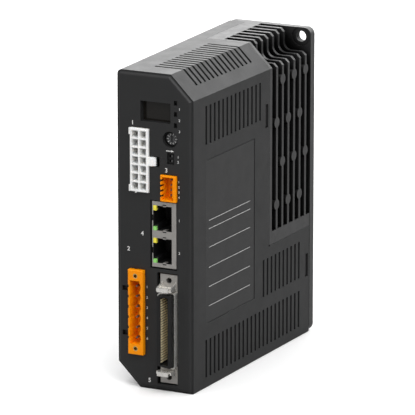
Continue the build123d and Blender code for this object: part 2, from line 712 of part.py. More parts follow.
# ---------------------------------------------------------------- socket 1
def motor_cells():
    """X and Z of the ways of socket 1."""
    return [(x, z) for x in centred(MOTOR_X, MOTOR_PITCH, 2) for z in centred(MOTOR_LEVEL, MOTOR_PITCH, MOTOR_ROWS)]


def make_motor_header():
    """White two-column housing with square cells and a lock on its right."""
    half = (MOTOR_SIZE[0] / 2, MOTOR_SIZE[1] / 2)
    left, right = MOTOR_X - half[0], MOTOR_X + half[0]
    low, high = MOTOR_LEVEL - half[1], MOTOR_LEVEL + half[1]
    cell = MOTOR_CELL / 2
    with BuildPart() as housing:
        slab((left, right), (-MOTOR_PROUD, MOTOR_DEPTH), (low, high))
        front = housing.faces().sort_by(Axis.Y)[0].edges()
        chamfer(front, length=0.3)
        for x, z in motor_cells():
            slab((x - cell, x + cell), (-MOTOR_PROUD - 1, MOTOR_CELL_DEPTH), (z - cell, z + cell), Mode.SUBTRACT)
            slab((x - 0.7, x + 0.7), (MOTOR_CELL_DEPTH - 1, MOTOR_DEPTH + 1), (z - 0.7, z + 0.7), Mode.SUBTRACT)
        # ears at the outer left corners, and the foot under them
        for ear in ((high - 3.2, high), (low, low + 3.2)):
            slab((left - 0.5, left), (-MOTOR_PROUD, -MOTOR_PROUD + 1.0), ear)
        # lock that the plug's latch hooks over
        with BuildSketch(Plane.XY.offset(MOTOR_LEVEL - 2.3)):
            with BuildLine():
                Polyline(
                    (right - 1, depth(-0.9)),
                    (right + 1.6, depth(-0.9)),
                    (right + 3.4, depth(0.2)),
                    (right + 3.4, depth(1.2)),
                    (right + 1.4, depth(1.2)),
                    (right + 1.4, depth(6.0)),
                    (right - 1, depth(6.0)),
                    close=True,
                )
            make_face()
        extrude(amount=4.3)
        for x, z in motor_cells():
            slab((x - cell, x + cell), (-MOTOR_PROUD - 1, MOTOR_CELL_DEPTH), (z - cell, z + cell), Mode.SUBTRACT)
        slab((MOTOR_X - 2.1, MOTOR_X - 1.5), (-MOTOR_PROUD + 0.1, -0.3), (low - 0.5, low))
        # feet that reach the board
        for z in (low + 2.5, high - 2.5):
            slab((POWER_BOARD_X, left), (FACE_WALL + 2, MOTOR_DEPTH), (z - 1.5, z + 1.5))
    housing.part.label = "motor_header"
    export_step(housing.part, "parts/motor_header.step")


def make_motor_header_pins():
    """Bent pins of socket 1, from the cells to the power board."""
    half = MOTOR_PIN / 2
    with BuildPart() as pins:
        for x, z in motor_cells():
            bend = MOTOR_DEPTH + (1.6 if x < MOTOR_X else 4.2)
            slab((x - half, x + half), (MOTOR_PIN_START, bend + half), (z - half, z + half))
            slab((POWER_BOARD_X, x + half), (bend - half, bend + half), (z - half, z + half))
    pins.part.label = "motor_header_pins"
    export_step(pins.part, "parts/motor_header_pins.step")


# ---------------------------------------------------------------- socket 2
def make_supply_header():
    """Orange six-way housing with a scalloped cavity and a nut at each end."""
    half = (SUPPLY_SIZE[0] / 2, SUPPLY_SIZE[1] / 2)
    left, right = SUPPLY_X - half[0], SUPPLY_X + half[0]
    ways = centred(SUPPLY_LEVEL, SUPPLY_PITCH, SUPPLY_WAYS)
    nuts = centred(SUPPLY_LEVEL, SUPPLY_NUT_SPACING, 2)
    floor = -SUPPLY_PROUD + SUPPLY_CAVITY_DEPTH
    with BuildPart() as housing:
        slab((left, right), (-SUPPLY_PROUD, SUPPLY_DEPTH), (SUPPLY_LEVEL - half[1], SUPPLY_LEVEL + half[1]))
        front = housing.faces().sort_by(Axis.Y)[0].edges()
        chamfer(front, length=0.35)
        for z in ways:
            rod_back(SUPPLY_X, (-SUPPLY_PROUD - 1, floor), z, SUPPLY_CAVITY, Mode.SUBTRACT)
            slab((left - 1, left + 0.6), (-SUPPLY_PROUD - 1, 0.5), (z - 0.75, z + 0.75), Mode.SUBTRACT)
            span = (z - 0.55, z + 0.55)
            slab((SUPPLY_X - 0.55, SUPPLY_X + 0.55), (floor - 1, SUPPLY_DEPTH + 1), span, Mode.SUBTRACT)
        reach = SUPPLY_PITCH * (SUPPLY_WAYS - 1) / 2 + 2.95
        slab(
            (SUPPLY_X + SUPPLY_CAVITY_SIDES[0], SUPPLY_X + SUPPLY_CAVITY_SIDES[1]),
            (-SUPPLY_PROUD - 1, floor),
            (SUPPLY_LEVEL - reach, SUPPLY_LEVEL + reach),
            Mode.SUBTRACT,
        )
        for z in nuts:
            deep = (-SUPPLY_PROUD - 1, -SUPPLY_PROUD + SUPPLY_NUT[2])
            rod_back(SUPPLY_X, deep, z, SUPPLY_NUT[0], Mode.SUBTRACT)
        for z in nuts:
            slab((POWER_BOARD_X, left), (FACE_WALL + 2, SUPPLY_DEPTH), (z - 1.5, z + 1.5))
    housing.part.label = "supply_header"
    export_step(housing.part, "parts/supply_header.step")


def make_supply_header_nuts():
    """Threaded inserts at both ends of socket 2."""
    with BuildPart() as inserts:
        for z in centred(SUPPLY_LEVEL, SUPPLY_NUT_SPACING, 2):
            rod_back(SUPPLY_X, (-SUPPLY_PROUD + 0.2, -SUPPLY_PROUD + SUPPLY_NUT[2]), z, SUPPLY_NUT[0])
            bore = (-SUPPLY_PROUD - 1, -SUPPLY_PROUD + SUPPLY_NUT[2] - 0.6)
            rod_back(SUPPLY_X, bore, z, SUPPLY_NUT[1], Mode.SUBTRACT)
    inserts.part.label = "supply_header_nuts"
    export_step(inserts.part, "parts/supply_header_nuts.step")


def make_supply_header_pins():
    """Bent pins of socket 2."""
    half = SUPPLY_PIN / 2
    bend = SUPPLY_DEPTH + 1.6
    with BuildPart() as pins:
        for z in centred(SUPPLY_LEVEL, SUPPLY_PITCH, SUPPLY_WAYS):
            start = -SUPPLY_PROUD + SUPPLY_PIN_SET_BACK
            slab((SUPPLY_X - half, SUPPLY_X + half), (start, bend + half), (z - half, z + half))
            slab((POWER_BOARD_X, SUPPLY_X + half), (bend - half, bend + half), (z - half, z + half))
    pins.part.label = "supply_header_pins"
    export_step(pins.part, "parts/supply_header_pins.step")


# ---------------------------------------------------------------- socket 3
def make_aux_header():
    """Small orange four-way housing with coding ribs."""
    half = (AUX_SIZE[0] / 2, AUX_SIZE[1] / 2)
    left, right = AUX_X - half[0], AUX_X + half[0]
    low, high = AUX_LEVEL - half[1], AUX_LEVEL + half[1]
    floor = -AUX_PROUD + AUX_CAVITY_DEPTH
    with BuildPart() as housing:
        slab((left, right), (-AUX_PROUD, AUX_DEPTH), (low, high))
        front = housing.faces().sort_by(Axis.Y)[0].edges()
        chamfer(front, length=0.2)
        slab(
            (left + AUX_WALL, right - AUX_WALL - 0.5),
            (-AUX_PROUD - 1, floor),
            (low + AUX_WALL, high - AUX_WALL),
            Mode.SUBTRACT,
        )
        ways = centred(AUX_LEVEL, AUX_PITCH, AUX_WAYS)
        for z in ways:
            slab((left - 1, left + 2), (-AUX_PROUD - 1, 2.0), (z - 0.6, z + 0.6), Mode.SUBTRACT)
            slab((AUX_X - 0.5, AUX_X + 0.5), (floor - 1, AUX_DEPTH + 1), (z - 0.5, z + 0.5), Mode.SUBTRACT)
        rib = (right - AUX_WALL - 1.1, right - AUX_WALL)
        slab(rib, (-AUX_PROUD + 0.3, floor), (ways[0] - 0.4, ways[-1] + 0.4))
        slab((right, CONTROL_BOARD_X), (FACE_WALL + 1, AUX_DEPTH), (low + 1, high - 1))
    housing.part.label = "aux_header"
    export_step(housing.part, "parts/aux_header.step")


def make_aux_header_pins():
    """Bent pins of socket 3, to the control board."""
    half = AUX_PIN / 2
    bend = AUX_DEPTH + 1.4
    with BuildPart() as pins:
        for z in centred(AUX_LEVEL, AUX_PITCH, AUX_WAYS):
            slab((AUX_X - half, AUX_X + half), (AUX_PIN_START, bend + half), (z - half, z + half))
            slab((AUX_X - half, CONTROL_BOARD_X), (bend - half, bend + half), (z - half, z + half))
    pins.part.label = "aux_header_pins"
    export_step(pins.part, "parts/aux_header_pins.step")


# ---------------------------------------------------------------- socket 4
def ports():
    """Z of the middle of each network port."""
    return centred(NET_LEVEL, NET_PITCH, 2)


def make_network_shield():
    """Folded metal can round both network ports, with spring tongues at its mouth."""
    half = (NET_SIZE[0] / 2, NET_SIZE[1] / 2)
    left, right = NET_X - half[0], NET_X + half[0]
    low, high = NET_LEVEL - half[1], NET_LEVEL + half[1]
    back = NET_SET_BACK + NET_DEPTH
    with BuildPart() as shield:
        slab((left, right), (NET_SET_BACK, back), (low, high))
        slab(
            (left + NET_SHEET, right - NET_SHEET),
            (NET_SET_BACK + NET_SHEET, back - NET_SHEET),
            (low + NET_SHEET, high - NET_SHEET),
            Mode.SUBTRACT,
        )
        for z in ports():
            slab((NET_X + PORT_LEFT, NET_X + PORT_RIGHT), (-1, 1), (z - PORT_HALF, z + PORT_HALF), Mode.SUBTRACT)
            slab((NET_X + PORT_KEY_LEFT, NET_X), (-1, 1), (z - PORT_HALF, z + PORT_HALF), Mode.SUBTRACT)
            slab((left - 1, NET_X), (-1, 1), (z - 1.5, z + 1.5), Mode.SUBTRACT)
            # spring fingers and the windows they are folded out of
            for side in (-1, 1):
                finger = (NET_X + 0.1 - FINGER_HALF, NET_X + 0.1 + FINGER_HALF)
                tip = z + side * (PORT_HALF - FINGER_REACH)
                front = (NET_SET_BACK, NET_SET_BACK + NET_SHEET)
                slab(finger, front, sorted((tip, z + side * (PORT_HALF + 0.1))))
                slab(finger, (front[0], front[1] + FINGER_LENGTH), sorted((tip, tip + side * 0.2)))
                window = sorted((z + side * (PORT_HALF + 0.2), z + side * (PORT_HALF + 0.8)))
                slab((finger[0] - 0.2, finger[1] + 0.2), (-1, front[1] + 0.01), window, Mode.SUBTRACT)
        # solder tabs
        for z in (low + 4, high - 4):
            slab((right, CONTROL_BOARD_X), (6, 8), (z - 0.6, z + 0.6))
    shield.part.label = "network_shield"
    export_step(shield.part, "parts/network_shield.step")


def make_network_insert():
    """Black plastic block with the two ports."""
    half = (NET_SIZE[0] / 2 - NET_SHEET, NET_SIZE[1] / 2 - NET_SHEET)
    front = NET_SET_BACK + NET_SHEET
    back = NET_SET_BACK + NET_DEPTH - NET_SHEET
    light = front + NET_LIGHT_DEPTH
    with BuildPart() as insert:
        slab((NET_X - half[0], NET_X + half[0]), (front, back), (NET_LEVEL - half[1], NET_LEVEL + half[1]))
        for z in ports():
            tall, key = (z - PORT_HALF, z + PORT_HALF), (z - PORT_KEY_HALF, z + PORT_KEY_HALF)
            slab((NET_X + PORT_LEFT, NET_X + PORT_RIGHT), (-1, PORT_DEPTH), tall, Mode.SUBTRACT)
            slab((NET_X + PORT_KEY_LEFT, NET_X), (-1, PORT_DEPTH), key, Mode.SUBTRACT)
            for side in (-1, 1):
                span = sorted((z + side * PORT_KEY_HALF, z + side * (PORT_HALF + 0.1)))
                slab((NET_X + PORT_KEY_LEFT, NET_X + PORT_LEFT), (-1, light), span, Mode.SUBTRACT)
    insert.part.label = "network_insert"
    export_step(insert.part, "parts/network_insert.step")


def corner_lights(side):
    """Light pipes at one left corner of each port: side 1 above, -1 below."""
    left = NET_X + PORT_KEY_LEFT + 0.06
    tall = NET_LIGHT_HEIGHTS[0] if side > 0 else NET_LIGHT_HEIGHTS[1]
    deep = (NET_SET_BACK, NET_SET_BACK + NET_SHEET + NET_LIGHT_DEPTH)
    with BuildPart() as lights:
        for z in ports():
            outer = z + side * PORT_HALF
            slab((left, left + NET_LIGHT_WIDTH), deep, sorted((outer - side * tall, outer)))
    return lights.part


def make_network_lights_yellow():
    """Upper corner lights of the ports."""
    with BuildPart() as yellow:
        add(corner_lights(1))
    yellow.part.label = "network_lights_yellow"
    export_step(yellow.part, "parts/network_lights_yellow.step")


def make_network_lights_green():
    """Lower corner lights of the ports."""
    with BuildPart() as green:
        add(corner_lights(-1))
    green.part.label = "network_lights_green"
    export_step(green.part, "parts/network_lights_green.step")


def make_network_contacts():
    """Eight sloping contact wires in each port."""
    wire = 0.18
    with BuildPart() as contacts:
        for z in ports():
            for level in centred(z, NET_CONTACT_PITCH, 8):
                with BuildSketch(Plane.XY.offset(level - wire)):
                    with BuildLine():
                        right = NET_X + PORT_RIGHT
                        Polyline(
                            (right, depth(PORT_DEPTH)),
                            (right - 2.6, depth(PORT_DEPTH - 1.2)),
                            (right - 0.35, depth(3.2)),
                            (right, depth(3.2)),
                            (right, depth(3.7)),
                            (right - 2.0, depth(PORT_DEPTH - 1.3)),
                            (right, depth(PORT_DEPTH - 0.6)),
                            close=True,
                        )
                    make_face()
                extrude(amount=2 * wire)
    contacts.part.label = "network_contacts"
    export_step(contacts.part, "parts/network_contacts.step")


# ---------------------------------------------------------------- socket 5
def d_outline(grow):
    """D-shaped outline of the signal socket's shell, grown by an amount."""
    wide, tall = SHELL_SIZE[0] / 2 + grow, SHELL_SIZE[1] / 2 + grow
    slant = 0.9
    with BuildSketch(mode=Mode.PRIVATE) as outline:
        with BuildLine():
            Polyline((-wide, -tall + slant), (-wide, tall - slant), (wide, tall), (wide, -tall), close=True)
        make_face()
        fillet(outline.vertices(), radius=1.0)
    return outline.sketch


def make_signal_flange():
    """Flange of the fifty-way socket, with its jack nuts and legs."""
    half = (FLANGE_SIZE[0] / 2, FLANGE_SIZE[1] / 2)
    jacks = centred(SIGNAL_LEVEL, JACK_SPACING, 2)
    back = FLANGE_DEPTH + FLANGE_THICKNESS
    with BuildPart() as flange:
        tall = (SIGNAL_LEVEL - half[1], SIGNAL_LEVEL + half[1])
        slab((SIGNAL_X - half[0], SIGNAL_X + half[0]), (FLANGE_DEPTH, back), tall)
        with BuildSketch(facing(FLANGE_DEPTH - 1)):
            with Locations((SIGNAL_X, SIGNAL_LEVEL)):
                add(d_outline(-0.01))
        extrude(amount=-FLANGE_THICKNESS - 2, mode=Mode.SUBTRACT)
        for z in jacks:
            rod_back(SIGNAL_X, (FLANGE_DEPTH - 1, back + 1), z, JACK_HOLE / 2, Mode.SUBTRACT)
            rod_back(SIGNAL_X, (back, back + 3.0), z, JACK_HOLE / 2 + 1.1)
            rod_back(SIGNAL_X, (FLANGE_DEPTH - 1, back + 4), z, JACK_HOLE / 2, Mode.SUBTRACT)
        # legs on the control board
        edge = SIGNAL_X + half[0]
        for z in jacks:
            leg = (z - 3.6, z - 2.8)
            slab((edge - 1.2, edge), (back, FACE_WALL + 3), leg)
            slab((edge - 1.2, CONTROL_BOARD_X), (FACE_WALL + 0.2, FACE_WALL + 3), leg)
    flange.part.label = "signal_flange"
    export_step(flange.part, "parts/signal_flange.step")


def make_signal_shell():
    """D-shaped metal shell of the fifty-way socket."""
    with BuildPart() as shell:
        with BuildSketch(facing(-SHELL_PROUD)):
            with Locations((SIGNAL_X, SIGNAL_LEVEL)):
                add(d_outline(-0.02))
                add(d_outline(-0.02 - SHELL_SHEET), mode=Mode.SUBTRACT)
        extrude(amount=-(SHELL_PROUD + FLANGE_DEPTH + FLANGE_THICKNESS))
    shell.part.label = "signal_shell"
    export_step(shell.part, "parts/signal_shell.step")


def make_signal_insulator():
    """Plastic block of the fifty-way socket, with the slot for the plug's tongue."""
    place = (SIGNAL_X, SIGNAL_LEVEL)
    base = FLANGE_DEPTH + FLANGE_THICKNESS - 0.7
    reach = SIGNAL_PITCH * (SIGNAL_WAYS - 1) / 2 + 1.4
    tab = (SIGNAL_LEVEL - reach + 1, SIGNAL_LEVEL + reach - 1)
    with BuildPart() as insulator:
        with BuildSketch(facing(-SIGNAL_PROUD)):
            with Locations(place):
                add(d_outline(-0.02 - SHELL_SHEET - INSULATOR_GAP))
        extrude(amount=-(SIGNAL_PROUD + base + 0.2))
        with BuildSketch(facing(base)):
            with Locations(place):
                add(d_outline(-0.06 - SHELL_SHEET))
        extrude(amount=-(SIGNAL_DEPTH - base - 0.7))
        slab((SIGNAL_X + 1, CONTROL_BOARD_X), (FACE_WALL + 0.2, SIGNAL_DEPTH), tab)
        slab(
            (SIGNAL_X - SLOT_WIDTH / 2, SIGNAL_X + SLOT_WIDTH / 2),
            (-SIGNAL_PROUD - 1, SIGNAL_DEPTH - 2.5),
            (SIGNAL_LEVEL - reach, SIGNAL_LEVEL + reach),
            Mode.SUBTRACT,
        )
    insulator.part.label = "signal_insulator"
    export_step(insulator.part, "parts/signal_insulator.step")


def make_signal_contacts():
    """Fifty ribbon contacts on the two long walls of the slot."""
    half, thick = SIGNAL_CONTACT[0] / 2, SIGNAL_CONTACT[1]
    with BuildPart() as contacts:
        for z in centred(SIGNAL_LEVEL, SIGNAL_PITCH, SIGNAL_WAYS):
            for side in (-1, 1):
                wall = SIGNAL_X + side * SLOT_WIDTH / 2
                span = sorted((wall, wall - side * thick))
                slab(span, (-SIGNAL_PROUD + 0.8, SIGNAL_DEPTH - 2.5), (z - half, z + half))
    contacts.part.label = "signal_contacts"
    export_step(contacts.part, "parts/signal_contacts.step")


def make_signal_latches():
    """Two folded brackets at the shell's ends that a plug's clips hook on to."""
    wide = 3.9
    inner = SHELL_SIZE[1] / 2 + LATCH_GAP
    with BuildPart() as latches:
        for side in (-1, 1):
            base = SIGNAL_LEVEL + side * inner
            tall = sorted((base, base + side * LATCH_SHEET))
            slab((SIGNAL_X - wide, SIGNAL_X + wide), (-LATCH_PROUD + 1.4, FLANGE_DEPTH), tall)
            slab((SIGNAL_X - wide + 1.0, SIGNAL_X + wide - 1.0), (-LATCH_PROUD, FLANGE_DEPTH), tall)
            # side cheeks that slope from the flange to the tip
            for cheek in (-1, 1):
                edge = SIGNAL_X + cheek * wide
                start = edge - (LATCH_SHEET if cheek > 0 else 0)
                with BuildSketch(Plane.YZ.offset(start)):
                    with BuildLine():
                        Polyline(
                            (depth(FLANGE_DEPTH), base),
                            (depth(-LATCH_PROUD + 1.4), base),
                            (depth(-LATCH_PROUD + 1.4), base + side * 1.4),
                            (depth(FLANGE_DEPTH), base + side * 3.6),
                            close=True,
                        )
                    make_face()
                extrude(amount=LATCH_SHEET)
            # turned-up lip
            lip = sorted((base, base + side * 2.0))
            slab((SIGNAL_X - wide + 1.0, SIGNAL_X + wide - 1.0), (-LATCH_PROUD, -LATCH_PROUD + LATCH_SHEET), lip)
            # foot riveted to the flange, short of the jack hole
            foot = sorted((base, base + side * 1.0))
            slab((SIGNAL_X - wide, SIGNAL_X + wide), (FLANGE_DEPTH - 0.5, FLANGE_DEPTH), foot)
    latches.part.label = "signal_latches"
    export_step(latches.part, "parts/signal_latches.step")


# ---------------------------------------------------------------- boards and what they carry
def spacer_places():
    """Depth and Z of the spacers between the power and control boards."""
    back = SINK_DEEP - 6.5
    high = CONTROL_BOARD_LEVELS[1] - 4.5
    low = POWER_BOARD_LEVELS[0] + 5.5
    return [(back, high), (back, low), (27.0, high), (26.0, low)]


def make_power_board():
    """Upright board along the left wall."""
    x = (POWER_BOARD_X - BOARD, POWER_BOARD_X)
    with BuildPart() as board:
        slab(x, (BOARD_FRONT, PLATE_DEEP - POWER_BOARD_BACK_GAP), POWER_BOARD_LEVELS)
        for deep, level in board_boss_places() + spacer_places():
            rod_across((x[0] - 1, x[1] + 1), deep, level, SCREW_RADIUS, Mode.SUBTRACT)
    board.part.label = "power_board"
    export_step(board.part, "parts/power_board.step")


def make_control_board():
    """Upright board along the right wall, in front of the heat sink."""
    x = (CONTROL_BOARD_X, CONTROL_BOARD_X + BOARD)
    with BuildPart() as board:
        slab(x, (BOARD_FRONT, SINK_DEEP - CONTROL_BOARD_GAP), CONTROL_BOARD_LEVELS)
        for deep, level in spacer_places():
            rod_across((x[0] - 1, x[1] + 1), deep, level, SCREW_RADIUS, Mode.SUBTRACT)
    board.part.label = "control_board"
    export_step(board.part, "parts/control_board.step")


def make_board_spacers():
    """Hexagonal spacers, threaded right through."""
    with BuildPart() as spacers:
        for deep, level in spacer_places():
            with BuildSketch(Plane.YZ.offset(POWER_BOARD_X)):
                with Locations((depth(deep), level)):
                    RegularPolygon(SPACER_RADIUS, 6)
                    Circle(SCREW_RADIUS, mode=Mode.SUBTRACT)
            extrude(amount=CONTROL_BOARD_X - POWER_BOARD_X)
    spacers.part.label = "board_spacers"
    export_step(spacers.part, "parts/board_spacers.step")


def cap_screw(tip, seat, deep, level):
    """Screw along X with its head outside seat and its end at tip."""
    side = 1 if seat > tip else -1
    rod_across(sorted((tip, seat)), deep, level, SCREW_RADIUS)
    rod_across(sorted((seat, seat + side * SCREW_HEAD[1])), deep, level, SCREW_HEAD[0])
    drive = sorted((seat + side * 0.6, seat + side * 3))
    slab(drive, (deep - 0.35, deep + 0.35), (level - 1.8, level + 1.8), Mode.SUBTRACT)
    slab(drive, (deep - 1.8, deep + 1.8), (level - 0.35, level + 0.35), Mode.SUBTRACT)


def make_board_screws():
    """Screws that hold both boards."""
    with BuildPart() as screws:
        for deep, level in board_boss_places():
            cap_screw(SINK_EDGE_X + 2.5, POWER_BOARD_X - BOARD, deep, level)
        for deep, level in spacer_places():
            cap_screw(POWER_BOARD_X + 6, POWER_BOARD_X - BOARD, deep, level)
            cap_screw(CONTROL_BOARD_X - 6, CONTROL_BOARD_X + BOARD, deep, level)
    screws.part.label = "board_screws"
    export_step(screws.part, "parts/board_screws.step")


def module_screw_places():
    """Depth and Z of the screws that clamp the module to the heat sink."""
    deep = sum(MODULE_DEPTHS) / 2
    return [(deep, MODULE_LEVELS[0] + 3.0), (deep, MODULE_LEVELS[1] - 3.0)]


def make_power_module():
    """Inverter module with counterbored holes for its clamping screws."""
    with BuildPart() as module:
        slab((POWER_BOARD_X, SINK_EDGE_X - PAD_THICKNESS), MODULE_DEPTHS, MODULE_LEVELS)
        for deep, level in module_screw_places():
            rod_across((POWER_BOARD_X - 1, SINK_EDGE_X), deep, level, SCREW_RADIUS, Mode.SUBTRACT)
            rod_across((POWER_BOARD_X - 1, MODULE_SEAT_X), deep, level, SCREW_HEAD[0] + 0.2, Mode.SUBTRACT)
    module.part.label = "power_module"
    export_step(module.part, "parts/power_module.step")


def make_rectifier():
    """Rectifier beneath the module."""
    with BuildPart() as rectifier:
        slab((POWER_BOARD_X, SINK_EDGE_X - PAD_THICKNESS), MODULE_DEPTHS, RECTIFIER_LEVELS)
    rectifier.part.label = "rectifier"
    export_step(rectifier.part, "parts/rectifier.step")


def make_thermal_pads():
    """Heat pads between both devices and the heat sink."""
    with BuildPart() as pads:
        for levels in (MODULE_LEVELS, RECTIFIER_LEVELS):
            slab((SINK_EDGE_X - PAD_THICKNESS, SINK_EDGE_X), MODULE_DEPTHS, levels)
        for deep, level in module_screw_places():
            rod_across((SINK_EDGE_X - 1, SINK_EDGE_X + 1), deep, level, SCREW_RADIUS, Mode.SUBTRACT)
    pads.part.label = "thermal_pads"
    export_step(pads.part, "parts/thermal_pads.step")


def make_module_screws():
    """Screws that clamp the module to the heat sink."""
    with BuildPart() as screws:
        for deep, level in module_screw_places():
            rod_across((MODULE_SEAT_X, SINK_EDGE_X + 4.5), deep, level, SCREW_RADIUS)
            rod_across((MODULE_SEAT_X - 1.6, MODULE_SEAT_X), deep, level, SCREW_HEAD[0])
    screws.part.label = "module_screws"
    export_step(screws.part, "parts/module_screws.step")


def make_bus_capacitors():
    """Four electrolytic cans that lie across the space under the heat sink."""
    radius, length = 9.0, 31.5
    first = SINK_DEEP + 12.0
    middle = POWER_BOARD_LEVELS[0] + radius + 10.0
    with BuildPart() as cans:
        for deep in (first, first + 2 * radius + 2.5):
            for level in (middle - radius - 0.25, middle + radius + 0.25):
                rod_across((POWER_BOARD_X, POWER_BOARD_X + length), deep, level, radius)
        fillet(cans.faces().filter_by(Axis.X).group_by(Axis.X)[-1].edges(), radius=1.0)
    cans.part.label = "bus_capacitors"
    export_step(cans.part, "parts/bus_capacitors.step")


def make_line_choke_core():
    """Ring core that stands on the power board."""
    outer, inner, thick = CHOKE
    foot = (CHOKE_DEPTH - 1.5, CHOKE_DEPTH + 1.5)
    with BuildPart() as core:
        rod_across((CHOKE_X, CHOKE_X + thick), CHOKE_DEPTH, CHOKE_LEVEL, outer)
        rod_across((CHOKE_X - 1, CHOKE_X + thick + 1), CHOKE_DEPTH, CHOKE_LEVEL, inner, Mode.SUBTRACT)
        slab((POWER_BOARD_X, CHOKE_X), foot, (CHOKE_LEVEL + inner + 0.5, CHOKE_LEVEL + outer - 0.5))
        slab((POWER_BOARD_X, CHOKE_X), foot, (CHOKE_LEVEL - outer + 0.5, CHOKE_LEVEL - inner - 0.5))
    core.part.label = "line_choke_core"
    export_step(core.part, "parts/line_choke_core.step")


def make_line_choke_winding():
    """Two windings on the ring core."""
    outer, inner, thick = CHOKE
    near, far = CHOKE_X, CHOKE_X + thick
    skin = 0.02  # running clearance to the core
    with BuildPart() as winding:
        rod_across((near - WINDING, far + WINDING), CHOKE_DEPTH, CHOKE_LEVEL, outer + WINDING)
        rod_across((near - 2, far + 2), CHOKE_DEPTH, CHOKE_LEVEL, inner - WINDING, Mode.SUBTRACT)
        rod_across((near - skin, far + skin), CHOKE_DEPTH, CHOKE_LEVEL, outer + skin, Mode.SUBTRACT)
        rod_across((near - skin, far + skin), CHOKE_DEPTH, CHOKE_LEVEL, inner - skin)
        rod_across((near - 2, far + 2), CHOKE_DEPTH, CHOKE_LEVEL, inner - WINDING, Mode.SUBTRACT)
        gap = (CHOKE_DEPTH - 2.5, CHOKE_DEPTH + 2.5)
        slab((near - 2, far + 2), gap, (CHOKE_LEVEL - 15, CHOKE_LEVEL + 15), Mode.SUBTRACT)
    winding.part.label = "line_choke_winding"
    export_step(winding.part, "parts/line_choke_winding.step")


def make_line_filter_capacitor():
    """Film capacitor on the power board."""
    with BuildPart() as film:
        slab((POWER_BOARD_X, POWER_BOARD_X + 12), (20, 27), (56, 74))
        fillet(film.edges().filter_by(Axis.X), radius=0.8)
    film.part.label = "line_filter_capacitor"
    export_step(film.part, "parts/line_filter_capacitor.step")


def make_inrush_relay():
    """Relay on the power board."""
    with BuildPart() as relay:
        slab((POWER_BOARD_X, POWER_BOARD_X + 15.5), (58, 68), (34, 54))
        chamfer(relay.faces().sort_by(Axis.X)[-1].edges(), length=0.6)
    relay.part.label = "inrush_relay"
    export_step(relay.part, "parts/inrush_relay.step")


def make_fuse():
    """Upright cartridge fuse on two clips."""
    centre = POWER_BOARD_X + 4.0
    with BuildPart() as fuse:
        with Locations((centre, depth(22), 38)):
            Cylinder(2.6, 20)
        slab((POWER_BOARD_X, centre), (21, 23), (30, 32))
        slab((POWER_BOARD_X, centre), (21, 23), (44, 46))
    fuse.part.label = "fuse"
    export_step(fuse.part, "parts/fuse.step")


def make_supply_transformer_core():
    """Ferrite core of the small supply transformer."""
    with BuildPart() as core:
        slab((POWER_BOARD_X + 3, POWER_BOARD_X + 21), (44, 64), (68, 100))
        slab((POWER_BOARD_X + 6, POWER_BOARD_X + 18), (43, 65), (73, 81), Mode.SUBTRACT)
        slab((POWER_BOARD_X + 6, POWER_BOARD_X + 18), (43, 65), (87, 95), Mode.SUBTRACT)
    core.part.label = "supply_transformer_core"
    export_step(core.part, "parts/supply_transformer_core.step")


def make_supply_transformer_coil():
    """Coil of the small supply transformer, with its feet on the power board."""
    with BuildPart() as coil:
        slab((POWER_BOARD_X + 6.2, POWER_BOARD_X + 17.8), (41.5, 66.5), (73.2, 94.8))
        slab((POWER_BOARD_X + 5.9, POWER_BOARD_X + 18.1), (43.8, 64.2), (80.8, 87.2), Mode.SUBTRACT)
        slab((POWER_BOARD_X, POWER_BOARD_X + 8), (41.0, 43.8), (75, 93))
        slab((POWER_BOARD_X, POWER_BOARD_X + 8), (64.2, 67.0), (75, 93))
    coil.part.label = "supply_transformer_coil"
    export_step(coil.part, "parts/supply_transformer_coil.step")


def make_processor():
    """Processor on the control board."""
    with BuildPart() as processor:
        slab((CONTROL_BOARD_X - 1.4, CONTROL_BOARD_X), (36, 56), (62, 82))
        chamfer(processor.edges().filter_by(Axis.X), length=0.8)
    processor.part.label = "processor"
    export_step(processor.part, "parts/processor.step")


def make_network_transformers():
    """Network transformers behind the ports."""
    with BuildPart() as magnetics:
        for z in ports():
            slab((CONTROL_BOARD_X - 5.0, CONTROL_BOARD_X), (22, 32), (z - 6.5, z + 6.5))
    magnetics.part.label = "network_transformers"
    export_step(magnetics.part, "parts/network_transformers.step")


def make_control_chips():
    """Other chips on the control board."""
    places = ((30, 112), (44, 112), (60, 112), (30, 46), (46, 46), (62, 46), (62, 90))
    with BuildPart() as chips:
        for deep, level in places:
            slab((CONTROL_BOARD_X - 1.2, CONTROL_BOARD_X), (deep, deep + 7), (level, level + 9))
    chips.part.label = "control_chips"
    export_step(chips.part, "parts/control_chips.step")


def link_places():
    """Depth and Z of the pins that join the two boards."""
    rows = centred(LINK_LEVEL, LINK_PITCH, LINK_ROWS)
    return [(d, z) for d in centred(LINK_DEPTH, LINK_PITCH, 2) for z in rows]


def make_board_link_socket():
    """Socket on the power board for the link between the boards."""
    tall = LINK_ROWS * LINK_PITCH / 2 + 0.3
    with BuildPart() as socket:
        slab((POWER_BOARD_X, LINK_X), (LINK_DEPTH - 2.3, LINK_DEPTH + 2.3), (LINK_LEVEL - tall, LINK_LEVEL + tall))
        for d, z in link_places():
            slab((LINK_X - 7, LINK_X + 1), (d - 0.45, d + 0.45), (z - 0.45, z + 0.45), Mode.SUBTRACT)
    socket.part.label = "board_link_socket"
    export_step(socket.part, "parts/board_link_socket.step")


def make_board_link_header():
    """Tall pin header on the control board."""
    tall = LINK_ROWS * LINK_PITCH / 2 + 0.3
    with BuildPart() as header:
        body = (LINK_X + 0.2, CONTROL_BOARD_X)
        slab(body, (LINK_DEPTH - 2.3, LINK_DEPTH + 2.3), (LINK_LEVEL - tall, LINK_LEVEL + tall))
        for d, z in link_places():
            slab((LINK_X - 5, LINK_X + 1), (d - 0.25, d + 0.25), (z - 0.25, z + 0.25))
    header.part.label = "board_link_header"
    export_step(header.part, "parts/board_link_header.step")


